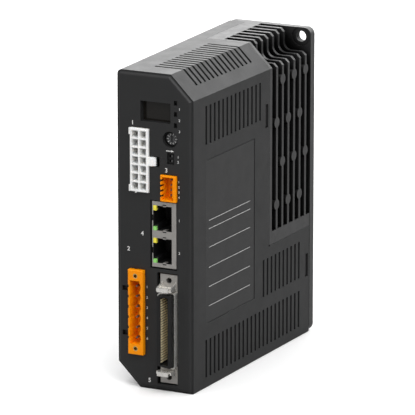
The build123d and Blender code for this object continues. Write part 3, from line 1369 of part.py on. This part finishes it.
make_cover()
make_heat_sink()
make_name_plate()
make_display_window()
make_display_digits()
make_display_board()
make_status_light_pipes()
make_status_leds()
make_id_switch_body()
make_id_switch_dial()
make_dip_switch_body()
make_dip_slider_1()
make_dip_slider_2()
make_motor_header()
make_motor_header_pins()
make_supply_header()
make_supply_header_nuts()
make_supply_header_pins()
make_aux_header()
make_aux_header_pins()
make_network_shield()
make_network_insert()
make_network_lights_yellow()
make_network_lights_green()
make_network_contacts()
make_signal_flange()
make_signal_shell()
make_signal_insulator()
make_signal_contacts()
make_signal_latches()
make_power_board()
make_control_board()
make_board_spacers()
make_board_screws()
make_power_module()
make_rectifier()
make_thermal_pads()
make_module_screws()
make_bus_capacitors()
make_line_choke_core()
make_line_choke_winding()
make_line_filter_capacitor()
make_inrush_relay()
make_fuse()
make_supply_transformer_core()
make_supply_transformer_coil()
make_processor()
make_network_transformers()
make_control_chips()
make_board_link_socket()
make_board_link_header()
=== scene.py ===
"""Servo drive: finishes, printed marks, stage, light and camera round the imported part."""
import json
import math

import bpy
from mathutils import Matrix, Vector


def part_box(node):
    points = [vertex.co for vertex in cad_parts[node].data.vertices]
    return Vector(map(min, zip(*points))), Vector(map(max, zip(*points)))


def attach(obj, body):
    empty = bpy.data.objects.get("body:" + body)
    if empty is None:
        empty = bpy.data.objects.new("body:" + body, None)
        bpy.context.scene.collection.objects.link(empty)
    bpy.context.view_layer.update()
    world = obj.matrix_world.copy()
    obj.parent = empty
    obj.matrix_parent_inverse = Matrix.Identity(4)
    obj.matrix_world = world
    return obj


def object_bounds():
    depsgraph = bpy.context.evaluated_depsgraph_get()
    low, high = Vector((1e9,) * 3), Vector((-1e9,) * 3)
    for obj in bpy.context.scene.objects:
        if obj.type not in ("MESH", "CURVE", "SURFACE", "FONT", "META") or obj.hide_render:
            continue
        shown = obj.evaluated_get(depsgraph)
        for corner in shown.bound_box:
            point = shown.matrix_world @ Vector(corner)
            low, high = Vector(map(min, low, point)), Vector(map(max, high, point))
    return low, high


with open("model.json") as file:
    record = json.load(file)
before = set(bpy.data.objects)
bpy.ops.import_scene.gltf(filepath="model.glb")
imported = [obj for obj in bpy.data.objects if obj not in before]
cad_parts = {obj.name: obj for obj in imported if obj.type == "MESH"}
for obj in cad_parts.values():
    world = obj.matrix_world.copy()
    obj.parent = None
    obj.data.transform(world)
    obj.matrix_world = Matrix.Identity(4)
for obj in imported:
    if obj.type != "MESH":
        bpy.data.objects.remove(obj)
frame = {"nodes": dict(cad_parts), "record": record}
cad_box = [list(corner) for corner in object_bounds()]
nodes = frame["nodes"]
record = frame["record"]
MM = 0.001


# ---------------------------------------------------------------- finishes
class Shader:
    """One node material, built up from small procedural pieces."""

    def __init__(self, name):
        self.material = bpy.data.materials.new(name)
        self.material.use_nodes = True
        self.tree = self.material.node_tree
        self.tree.nodes.clear()
        self.out = self.tree.nodes.new("ShaderNodeOutputMaterial")
        self.body = self.tree.nodes.new("ShaderNodeBsdfPrincipled")
        self.link(self.body.outputs[0], self.out.inputs["Surface"])
        self.coords = self.tree.nodes.new("ShaderNodeTexCoord").outputs["Object"]
        self.normal = None

    def node(self, kind, **values):
        made = self.tree.nodes.new(kind)
        for key, value in values.items():
            setattr(made, key, value)
        return made

    def link(self, a, b):
        self.tree.links.new(a, b)

    def set(self, **values):
        """Constants on the shader's own sockets."""
        for key, value in values.items():
            socket = self.body.inputs[key.replace("_", " ")]
            if socket.type == "RGBA":
                value = (*value, 1.0)
            socket.default_value = value
        return self

    def stretched(self, scale):
        """Object coordinates scaled apart along X, Y and Z."""
        mapping = self.node("ShaderNodeMapping")
        mapping.inputs["Scale"].default_value = scale
        self.link(self.coords, mapping.inputs["Vector"])
        return mapping.outputs[0]

    def noise(self, size, detail=3.0, rough=0.55, stretch=None):
        """Noise whose features are about size metres across."""
        made = self.node("ShaderNodeTexNoise")
        made.inputs["Scale"].default_value = 1.0 / size
        made.inputs["Detail"].default_value = detail
        made.inputs["Roughness"].default_value = rough
        self.link(self.stretched(stretch) if stretch else self.coords, made.inputs["Vector"])
        return made.outputs["Fac"]

    def cells(self, size):
        """Distance from the nearest of scattered points about size metres apart."""
        made = self.node("ShaderNodeTexVoronoi")
        made.inputs["Scale"].default_value = 1.0 / size
        self.link(self.coords, made.inputs["Vector"])
        return made.outputs["Distance"]

    def bands(self, size, distortion):
        """Soft stripes stacked along Z."""
        made = self.node("ShaderNodeTexWave", bands_direction="Z")
        made.inputs["Scale"].default_value = 1.0 / size
        made.inputs["Distortion"].default_value = distortion
        self.link(self.coords, made.inputs["Vector"])
        return made.outputs["Fac"]

    def remap(self, value, low, high, start=0.25, end=0.75):
        """Maps the range from start to end onto low to high."""
        made = self.node("ShaderNodeMapRange")
        limits = {"From Min": start, "From Max": end, "To Min": low, "To Max": high}
        for key, number in limits.items():
            made.inputs[key].default_value = number
        self.link(value, made.inputs["Value"])
        return made.outputs["Result"]

    def blend(self, factor, a, b):
        """Mixes two colours, each a socket or three numbers, by a factor socket."""
        made = self.node("ShaderNodeMix", data_type="RGBA")
        self.link(factor, made.inputs[0])
        for socket, value in ((made.inputs[6], a), (made.inputs[7], b)):
            if isinstance(value, tuple):
                socket.default_value = (*value, 1.0)
            else:
                self.link(value, socket)
        return made.outputs[2]

    def openness(self, reach):
        """1 on open surfaces, falling towards 0 where the same piece closes in within reach."""
        made = self.node("ShaderNodeAmbientOcclusion", samples=8, only_local=True)
        made.inputs["Distance"].default_value = reach
        return made.outputs["AO"]

    def painted_slot_shade(self, colour, reach, start, end, level):
        """Painted shade: darkens colour and shine inside deep slots, where the same piece closes in and
        shade falls.
        """
        # painted shade: the occlusion mask sets how dark the colour and how weak the shine become
        clear = self.remap(self.openness(reach), 0.0, 1.0, start, end)
        self.link(self.remap(clear, 0.0, level, 0.0, 1.0), self.body.inputs["Specular IOR Level"])
        return self.blend(clear, (0.001, 0.001, 0.001), colour)

    def colour(self, socket):
        self.link(socket, self.body.inputs["Base Color"])
        return self

    def roughness(self, socket):
        self.link(socket, self.body.inputs["Roughness"])
        return self

    def soften(self, radius):
        """Rounds every sharp edge a little, so that edges catch the light."""
        made = self.node("ShaderNodeBevel", samples=4)
        made.inputs["Radius"].default_value = radius
        self.normal = made.outputs[0]
        self.link(self.normal, self.body.inputs["Normal"])
        return self

    def bump(self, height, distance, strength=1.0):
        """Relief of the given depth, laid over the relief that is already there."""
        made = self.node("ShaderNodeBump")
        made.inputs["Strength"].default_value = strength
        made.inputs["Distance"].default_value = distance
        self.link(height, made.inputs["Height"])
        if self.normal is not None:
            self.link(self.normal, made.inputs["Normal"])
        self.normal = made.outputs[0]
        self.link(self.normal, self.body.inputs["Normal"])
        return self


def tones(colour, spread):
    """A darker and a lighter neighbour of a colour."""
    return tuple(c * (1 - spread) for c in colour), tuple(min(1.0, c * (1 + spread)) for c in colour)


def moulded(name, colour, rough, spread, grain=0.35 * MM, edge=0.12 * MM, level=0.5):
    """Moulded plastic: uneven tone, a fine sparked grain and slightly rounded edges."""
    s = Shader(name)
    low, high = tones(colour, spread)
    s.colour(s.blend(s.noise(14 * MM, 4.0), low, high))
    s.roughness(s.remap(s.noise(5 * MM, 4.0), rough - 0.06, rough + 0.07))
    s.set(Specular_IOR_Level=level)
    s.soften(edge)
    s.bump(s.noise(grain, 3.0, 0.6), 0.02 * MM)
    return s.material


def plated(name, colour, rough, stretch, metal=1.0):
    """Plated metal with rolling lines and dull patches."""
    s = Shader(name)
    low, high = tones(colour, 0.14)
    grain = 0.5 * MM
    s.colour(s.blend(s.noise(3 * MM, 5.0), low, high))
    s.roughness(s.remap(s.noise(grain * 6, 5.0, 0.6, stretch), rough - 0.08, rough + 0.12))
    s.set(Metallic=metal)
    s.soften(0.08 * MM)
    s.bump(s.noise(grain, 4.0, 0.6, stretch), 0.004 * MM)
    return s.material


def glossy(name, colour, rough):
    """Clear tinted plastic."""
    s = Shader(name)
    low, high = tones(colour, 0.08)
    s.colour(s.blend(s.noise(2 * MM, 3.0), low, high))
    s.roughness(s.remap(s.noise(1.5 * MM, 3.0), rough, rough + 0.1))
    s.set(Coat_Weight=0.4, Coat_Roughness=0.08)
    s.soften(0.15 * MM)
    s.bump(s.noise(0.8 * MM, 2.0), 0.004 * MM)
    return s.material


def housing_plastic():
    """Dark grey housing: sparked texture, with paler rubbed patches, a little dust in its tone, and
    painted shade in its vents and slots.
    """
    s = Shader("housing_plastic")
    base = s.blend(s.noise(22 * MM, 5.0), (0.0160, 0.0162, 0.0166), (0.0206, 0.0208, 0.0212))
    specks = s.remap(s.noise(0.5 * MM, 2.0, 0.7), 0.0, 0.35, 0.58, 0.8)
    # painted shade: colour and shine go darker inside the vents and slots
    s.colour(s.painted_slot_shade(s.blend(specks, base, (0.027, 0.027, 0.027)), 3 * MM, 0.1, 0.5, 0.34))
    s.roughness(s.remap(s.noise(9 * MM, 5.0, 0.6), 0.42, 0.52))
    s.soften(0.22 * MM)
    s.bump(s.noise(0.9 * MM, 2.0), 0.01 * MM)
    s.bump(s.cells(0.34 * MM), 0.022 * MM, 0.6)
    return s.material


def cast_black():
    """Black powder coat over a die casting: orange peel, flow marks, slightly worn edges, and painted
    shade deep in the fin slots.
    """
    s = Shader("cast_black")
    base = s.blend(s.noise(16 * MM, 5.0), (0.015, 0.015, 0.0155), (0.022, 0.022, 0.0225))
    worn = s.blend(s.remap(s.noise(0.7 * MM, 3.0, 0.7), 0.0, 0.4, 0.6, 0.85), base, (0.042, 0.042, 0.043))
    # painted shade: colour and shine fall to near black deep in the fin slots
    s.colour(s.painted_slot_shade(worn, 14 * MM, 0.35, 0.85, 0.7))
    s.roughness(s.remap(s.noise(4 * MM, 5.0, 0.6), 0.40, 0.54))
    s.soften(0.3 * MM)
    s.bump(s.noise(2.2 * MM, 3.0), 0.03 * MM)
    s.bump(s.noise(0.45 * MM, 3.0, 0.65), 0.03 * MM)
    return s.material


def label_film():
    """Satin film with a faint embossed weave."""
    s = Shader("label_film")
    s.colour(s.blend(s.noise(18 * MM, 3.0), (0.0135, 0.0135, 0.014), (0.018, 0.018, 0.0185)))
    s.roughness(s.remap(s.noise(7 * MM, 4.0), 0.36, 0.44))
    s.set(Specular_IOR_Level=0.38)
    s.soften(0.06 * MM)
    s.bump(s.noise(0.25 * MM, 2.0), 0.006 * MM)
    return s.material


def smoked_lens():
    """Smoked acrylic that hides what is behind it, with faint wiping marks."""
    s = Shader("smoked_lens")
    s.colour(s.blend(s.noise(5 * MM, 3.0), (0.009, 0.008, 0.0066), (0.012, 0.0105, 0.0088)))
    s.roughness(s.remap(s.noise(3 * MM, 5.0, 0.6, (1, 1, 4)), 0.10, 0.22))
    s.set(Specular_IOR_Level=0.28, Coat_Weight=0.05, Coat_Roughness=0.05)
    s.bump(s.noise(6 * MM, 2.0), 0.01 * MM)
    return s.material


def circuit_board():
    """Solder mask with tracks under it."""
    s = Shader("board_green")
    tracks = s.remap(s.cells(2.4 * MM), 0.0, 1.0, 0.38, 0.46)
    base = s.blend(tracks, (0.010, 0.060, 0.026), (0.018, 0.105, 0.045))
    s.colour(s.blend(s.noise(8 * MM, 3.0), base, (0.008, 0.05, 0.022)))
    s.roughness(s.remap(s.noise(4 * MM, 3.0), 0.28, 0.42))
    s.bump(tracks, 0.03 * MM)
    return s.material


def wound_copper():
    """Enamelled wire, turn beside turn."""
    s = Shader("copper_wire")
    turns = s.bands(1.6 * MM, 0.4)
    s.colour(s.blend(turns, (0.20, 0.06, 0.02), (0.55, 0.21, 0.08)))
    s.roughness(s.remap(s.noise(2 * MM, 3.0), 0.22, 0.38))
    s.set(Metallic=0.6)
    s.bump(turns, 0.3 * MM)
    return s.material


def ferrite():
    """Ferrite: charcoal grey, granular."""
    s = Shader("ferrite")
    s.colour(s.blend(s.noise(1.2 * MM, 4.0), (0.035, 0.035, 0.038), (0.075, 0.075, 0.08)))
    s.roughness(s.remap(s.noise(2 * MM, 3.0), 0.55, 0.75))
    s.soften(0.3 * MM)
    s.bump(s.noise(0.5 * MM, 4.0), 0.05 * MM)
    return s.material


def dull_gold():
    """Gold-plated spring metal with drawn lines."""
    s = Shader("gold_contact")
    s.colour(s.blend(s.noise(1.0 * MM, 4.0), (0.90, 0.76, 0.48), (0.99, 0.88, 0.62)))
    s.roughness(s.remap(s.noise(0.6 * MM, 4.0, 0.6, (1, 0.1, 1)), 0.22, 0.38))
    s.set(Metallic=0.25)
    s.bump(s.noise(0.3 * MM, 3.0, 0.6, (1, 0.1, 1)), 0.004 * MM)
    return s.material


def orange_nylon():
    """Orange glass-filled nylon: warm, a little mottled, faint flow lines."""
    s = Shader("header_orange")
    base = s.blend(s.noise(6 * MM, 4.0), (0.93, 0.270, 0.0), (1.0, 0.330, 0.001))
    streaks = s.remap(s.noise(0.5 * MM, 3.0, 0.7, (1, 0.3, 1)), 0.0, 0.3, 0.55, 0.8)
    s.colour(s.blend(streaks, base, (1.0, 0.37, 0.008)))
    s.roughness(s.remap(s.noise(2.5 * MM, 4.0), 0.36, 0.5))
    s.set(Specular_IOR_Level=0.16)
    s.set(Subsurface_Weight=0.12, Subsurface_Radius=(1.0, 0.35, 0.1), Subsurface_Scale=0.6 * MM)
    s.soften(0.15 * MM)
    s.bump(s.noise(0.4 * MM, 3.0, 0.6), 0.012 * MM)
    return s.material


def white_nylon():
    """Natural nylon: slightly warm, lets a little light through."""
    s = Shader("header_white")
    s.colour(s.blend(s.noise(5 * MM, 4.0), (0.90, 0.90, 0.885), (0.95, 0.95, 0.935)))
    s.roughness(s.remap(s.noise(2 * MM, 4.0), 0.38, 0.52))
    s.set(Subsurface_Weight=0.45, Subsurface_Radius=(1.0, 0.95, 0.9), Subsurface_Scale=1.2 * MM)
    s.soften(0.15 * MM)
    s.bump(s.noise(0.5 * MM, 3.0, 0.6), 0.01 * MM)
    return s.material


finishes = {
    "housing_plastic": housing_plastic(),
    "cast_black": cast_black(),
    "label_film": label_film(),
    "smoked_lens": smoked_lens(),
    "light_pipe": moulded("light_pipe", (0.004, 0.004, 0.004), 0.4, 0.2, level=0.25),
    "switch_black": moulded("switch_black", (0.005, 0.005, 0.0052), 0.5, 0.2, level=0.3),
    "dial_grey": moulded("dial_grey", (0.06, 0.06, 0.062), 0.42, 0.15),
    "slider_grey": moulded("slider_grey", (0.05, 0.05, 0.052), 0.4, 0.15, edge=0.05 * MM),
    "header_white": white_nylon(),
    "header_orange": orange_nylon(),
    "tinned_pin": plated("tinned_pin", (0.17, 0.14, 0.11), 0.55, (1, 0.08, 1), 0.5),
    "brass_nut": plated("brass_nut", (0.78, 0.56, 0.22), 0.28, (1, 0.1, 1)),
    "tinned_sheet": plated("tinned_sheet", (0.42, 0.405, 0.385), 0.44, (1, 1, 0.07), 0.8),
    "bright_sheet": plated("bright_sheet", (0.88, 0.86, 0.82), 0.26, (1, 1, 0.08), 0.8),
    "socket_black": moulded("socket_black", (0.006, 0.006, 0.0063), 0.45, 0.2, 0.3 * MM, level=0.35),
    "gold_contact": dull_gold(),
    "light_yellow": glossy("light_yellow", (0.92, 0.80, 0.06), 0.18),
    "light_green": glossy("light_green", (0.28, 0.70, 0.16), 0.18),
    "board_green": circuit_board(),
    "display_grey": moulded("display_grey", (0.04, 0.04, 0.04), 0.3, 0.1),
    "led_white": glossy("led_white", (0.75, 0.75, 0.66), 0.2),
    "chip_black": moulded("chip_black", (0.014, 0.014, 0.0145), 0.5, 0.2, 0.2 * MM),
    "thermal_grey": moulded("thermal_grey", (0.22, 0.22, 0.24), 0.75, 0.1, 0.4 * MM),
    "zinc_screw": plated("zinc_screw", (0.58, 0.58, 0.58), 0.34, (1, 1, 1)),
    "spacer_brass": plated("spacer_brass", (0.70, 0.50, 0.22), 0.3, (0.1, 1, 1)),
    "capacitor_sleeve": glossy("capacitor_sleeve", (0.02, 0.025, 0.05), 0.28),
    "ferrite": ferrite(),
    "copper_wire": wound_copper(),
    "tape_yellow": moulded("tape_yellow", (0.62, 0.46, 0.06), 0.35, 0.1, 0.8 * MM),
    "film_box": moulded("film_box", (0.36, 0.27, 0.06), 0.3, 0.08),
    "relay_black": moulded("relay_black", (0.02, 0.02, 0.024), 0.25, 0.15),
    "fuse_ceramic": moulded("fuse_ceramic", (0.60, 0.57, 0.52), 0.3, 0.08),
}

slot_of = {entry["node"]: entry["material_slot"] for entry in record["subparts"]}
for name, thing in nodes.items():
    thing.data.materials.clear()
    thing.data.materials.append(finishes[slot_of[name]])
    for polygon in thing.data.polygons:
        polygon.material_index = 0


# ---------------------------------------------------------------- printed marks
# Places are X and height above the base in millimetres, and depths lie behind the front face.
face_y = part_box("cover")[0].y
base_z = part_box("cover")[0].z
INK = 0.03 * MM  # thickness of the ink
DIGIT_SHARE = 0.72  # height of a digit as a share of the font's size

SOCKET_HEIGHT, SOCKET_BOLD = 2.1, 0.06
SOCKET_MARKS = {1: (-12.2, 129.2), 2: (-14.6, 67.4), 3: (5.6, 107.8), 4: (-7.2, 75.7), 5: (-3.6, 3.6)}

SMALL_BOLD = 0.02
SMALL_COLUMNS = (  # kind, how many, X, height of the first, pitch, size
    ("supply", 6, -4.5, 49.9, 5.08, 1.25),
    ("aux", 4, 12.6, 103.3, 2.5, 1.1),
    ("port", 2, 12.7, 84.4, 15.875, 1.3),
    ("light", 3, 12.9, 138.4, 5.4, 1.2),
    ("switch", 2, 12.2, 115.2, 2.4, 1.2),
)

ARROW = ((6.3, 118.1), (8.9, 118.1), (8.9, 117.8), (10.4, 118.3), (8.9, 118.9), (8.9, 118.5), (6.3, 118.5))

DIAL_X, DIAL_LEVEL, DIAL_DEPTH = 8.3, 123.8, 2.1
DIAL_MARKS = 10
MARK_INNER, MARK_OUTER, MARK_HALF = 1.75, 2.7, 0.11

SIDE_DRAFT = math.radians(1.35)
PLATE_X = 19.9  # face of the side plate where the side wall begins
WALL_START, WALL_SPAN = -1.0, 130.0  # depth at which the side wall begins, and its length
WALL_OPENING = math.tan(SIDE_DRAFT) * 127.8  # how far the wall opens over its length
RULE_DEPTHS, RULE_WIDTH = (17, 59.5), 0.22
RULE_LEVELS = (82.0, 77.9, 68.8, 58.9, 49.4, 39.9)

FORWARD = Vector((0.0, -1.0, 0.0))
SIDEWAYS = Vector((math.cos(SIDE_DRAFT), -math.sin(SIDE_DRAFT), 0.0))


def ink_material():
    """White printing ink with slightly uneven cover."""
    s = Shader("white_ink")
    s.colour(s.blend(s.noise(1.2 * MM, 4.0), (0.62, 0.62, 0.61), (0.74, 0.74, 0.73)))
    s.roughness(s.remap(s.noise(0.8 * MM, 3.0), 0.5, 0.65))
    s.bump(s.noise(0.2 * MM, 3.0), 0.006 * MM)
    return s.material


ink = ink_material()


def printed(name, mesh, body):
    """Turns a mesh into an inked piece that rides on a body."""
    mesh.materials.clear()
    mesh.materials.append(ink)
    thing = bpy.data.objects.new(name, mesh)
    bpy.context.scene.collection.objects.link(thing)
    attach(thing, body)


def numeral(name, number, x, level, height, bold):
    """A printed number on the front face, placed by its lower left corner."""
    font = bpy.data.curves.new(name, "FONT")
    font.body = str(number)
    font.size = height * MM / DIGIT_SHARE
    font.extrude = INK / 2
    font.offset = bold * MM
    font.resolution_u = 6
    holder = bpy.data.objects.new(name + "_font", font)
    bpy.context.scene.collection.objects.link(holder)
    bpy.context.view_layer.update()
    mesh = bpy.data.meshes.new_from_object(holder.evaluated_get(bpy.context.evaluated_depsgraph_get()))
    bpy.data.objects.remove(holder)
    mesh.name = name
    place = Matrix.Translation(Vector((x * MM, face_y - INK / 2, base_z + level * MM)))
    mesh.transform(place @ Matrix.Rotation(math.pi / 2, 4, "X"))
    printed(name, mesh, "housing")


def ink_shape(name, pieces, body="housing"):
    """Thin printed shapes in one mesh, each a list of world corners and the way that it faces."""
    mesh = bpy.data.meshes.new(name)
    corners, faces = [], []
    for piece, outward in pieces:
        first, count = len(corners), len(piece)
        corners += [tuple(point) for point in piece]
        corners += [tuple(point + outward * INK) for point in piece]
        faces.append([first + i for i in range(count)])
        faces.append([first + count + i for i in reversed(range(count))])
        for i in range(count):
            j = (i + 1) % count
            faces.append([first + j, first + i, first + count + i, first + count + j])
    mesh.from_pydata(corners, [], faces)
    printed(name, mesh, body)


def on_front(x, level, depth=0.0):
    """World point on the front face, or at a depth behind it."""
    return Vector((x * MM, face_y + depth * MM, base_z + level * MM))


def on_plate(depth, level):
    """World point on the face of the side plate."""
    out = PLATE_X + WALL_OPENING * (depth - WALL_START) / WALL_SPAN
    return Vector((out * MM, face_y + depth * MM, base_z + level * MM))


def dial_mark(step):
    """Corners of one radial mark on the dial."""
    angle = math.radians(360 / DIAL_MARKS * (step + 0.5))
    out = Vector((math.sin(angle), math.cos(angle)))
    side = Vector((math.cos(angle), -math.sin(angle)))
    outline = (
        (MARK_INNER, -MARK_HALF),
        (MARK_OUTER, -MARK_HALF),
        (MARK_OUTER, MARK_HALF),
        (MARK_INNER, MARK_HALF),
    )
    corners = [out * r + side * w for r, w in outline]
    return [on_front(DIAL_X + c.x, DIAL_LEVEL + c.y, DIAL_DEPTH) for c in corners]


def plate_rule(level):
    """Corners of one line ruled on the side plate."""
    front, rear = RULE_DEPTHS
    outline = ((front, level), (rear, level), (rear, level + RULE_WIDTH), (front, level + RULE_WIDTH))
    return [on_plate(depth, z) for depth, z in outline]


for socket, (x, level) in SOCKET_MARKS.items():
    numeral(f"mark_socket_{socket}", socket, x, level, SOCKET_HEIGHT, SOCKET_BOLD)
for kind, count, x, first_level, pitch, height in SMALL_COLUMNS:
    for i in range(count):
        numeral(f"mark_{kind}_{i + 1}", i + 1, x, first_level - pitch * i, height, SMALL_BOLD)
ink_shape("mark_arrow", [([on_front(x, level) for x, level in ARROW], FORWARD)])
ink_shape("dial_marks", [(dial_mark(step), FORWARD) for step in range(DIAL_MARKS)], "id_dial")
ink_shape("plate_rules", [(plate_rule(level), SIDEWAYS) for level in RULE_LEVELS])


# ---------------------------------------------------------------- stage
FLOOR_SIZE = 14.0
HORIZON_LEVEL, ZENITH_LEVEL = 0.34, 0.85  # strength of the surroundings at eye level and near the top
ZENITH_START = 0.9  # height on the unit sphere where the full strength is reached
SENSOR_WIDTH = 36.0
PHOTO_WIDTH = 415  # pixels across the photograph
FOCAL_LENGTH = 4251.639  # fitted to the photograph, in its pixels
AZIMUTH, ELEVATION = 0.46337402, 0.2532988  # radians
EYE = (891.788, -1728.720, 593.513)  # X, distance behind the front face and height above the base, in mm

scene = bpy.context.scene
scene.view_settings.view_transform = "Standard"
scene.view_settings.look = "None"
centre = Vector((0.0, 0.0, (cad_box[0][2] + cad_box[1][2]) / 2))


def floor_material():
    """Matt floor, pale to the camera and mid grey to all other rays, so that it lights the object less."""
    s = Shader("studio_floor")
    tone = s.blend(s.noise(0.4, 3.0), (0.94, 0.94, 0.94), (0.96, 0.96, 0.96))
    path = s.node("ShaderNodeLightPath")
    s.colour(s.blend(path.outputs["Is Camera Ray"], (0.38, 0.38, 0.38), tone))
    s.roughness(s.remap(s.noise(0.3, 3.0), 0.8, 0.95))
    s.set(Specular_IOR_Level=0.1)
    s.bump(s.noise(2 * MM, 3.0), 0.02 * MM)
    return s.material


def floor():
    """Square floor at the height of the object's base."""
    mesh = bpy.data.meshes.new("studio_floor")
    h, z = FLOOR_SIZE / 2, cad_box[0][2]
    mesh.from_pydata([(-h, -h, z), (h, -h, z), (h, h, z), (-h, h, z)], [], [(0, 1, 2, 3)])
    mesh.materials.append(floor_material())
    thing = bpy.data.objects.new("studio_floor", mesh)
    scene.collection.objects.link(thing)


def surroundings():
    """White world that grows brighter from the horizon upwards."""
    world = bpy.data.worlds.new("studio")
    world.use_nodes = True
    tree = world.node_tree
    tree.nodes.clear()
    output = tree.nodes.new("ShaderNodeOutputWorld")
    glow = tree.nodes.new("ShaderNodeBackground")
    coords = tree.nodes.new("ShaderNodeTexCoord")
    split = tree.nodes.new("ShaderNodeSeparateXYZ")
    ramp = tree.nodes.new("ShaderNodeMapRange")
    ramp.inputs["From Min"].default_value = 0.0
    ramp.inputs["From Max"].default_value = ZENITH_START
    ramp.inputs["To Min"].default_value = HORIZON_LEVEL
    ramp.inputs["To Max"].default_value = ZENITH_LEVEL
    tree.links.new(coords.outputs["Generated"], split.inputs[0])
    tree.links.new(split.outputs["Z"], ramp.inputs["Value"])
    tree.links.new(ramp.outputs["Result"], glow.inputs["Strength"])
    tree.links.new(glow.outputs[0], output.inputs["Surface"])
    return world


def softbox(name, azimuth, elevation, distance, width, height, radiance):
    """Rectangular light aimed at the object. Azimuth 0 is in front and 90 is to the right."""
    light = bpy.data.lights.new(name, "AREA")
    light.shape = "RECTANGLE"
    light.size, light.size_y = width, height
    light.energy = radiance * math.pi * width * height
    thing = bpy.data.objects.new(name, light)
    scene.collection.objects.link(thing)
    a, e = math.radians(azimuth), math.radians(elevation)
    away = Vector((math.sin(a) * math.cos(e), -math.cos(a) * math.cos(e), math.sin(e)))
    thing.location = centre + away * distance
    thing.rotation_mode = "QUATERNION"
    thing.rotation_quaternion = away.to_track_quat("Z", "Y")
    thing.visible_camera = False


def photo_camera():
    """Camera that stands where the photograph was taken from."""
    camera = bpy.data.cameras.new("camera")
    camera.sensor_width = SENSOR_WIDTH
    camera.lens = SENSOR_WIDTH * FOCAL_LENGTH / PHOTO_WIDTH
    camera.clip_start, camera.clip_end = 0.05, 50.0
    eye = bpy.data.objects.new("camera", camera)
    scene.collection.objects.link(eye)
    forward = Vector((
        -math.sin(AZIMUTH) * math.cos(ELEVATION),
        math.cos(AZIMUTH) * math.cos(ELEVATION),
        -math.sin(ELEVATION),
    ))
    x, y, z = EYE
    eye.location = Vector((x * MM, y * MM + face_y, z * MM + base_z))
    eye.rotation_mode = "QUATERNION"
    eye.rotation_quaternion = (-forward).to_track_quat("Z", "Y")
    return eye


floor()
scene.world = surroundings()
softbox("back_card", 196, 22, 1.5, 2.4, 1.1, 3.1)
softbox("overhead", 60, 78, 1.5, 1.6, 1.6, 1.3)
softbox("key", 38, 44, 1.7, 1.3, 1.1, 3.1)
softbox("side", 66, 2, 1.7, 0.7, 1.1, 1.9)
softbox("fill", -50, 30, 1.9, 1.2, 1.0, 1.1)
scene.camera = photo_camera()
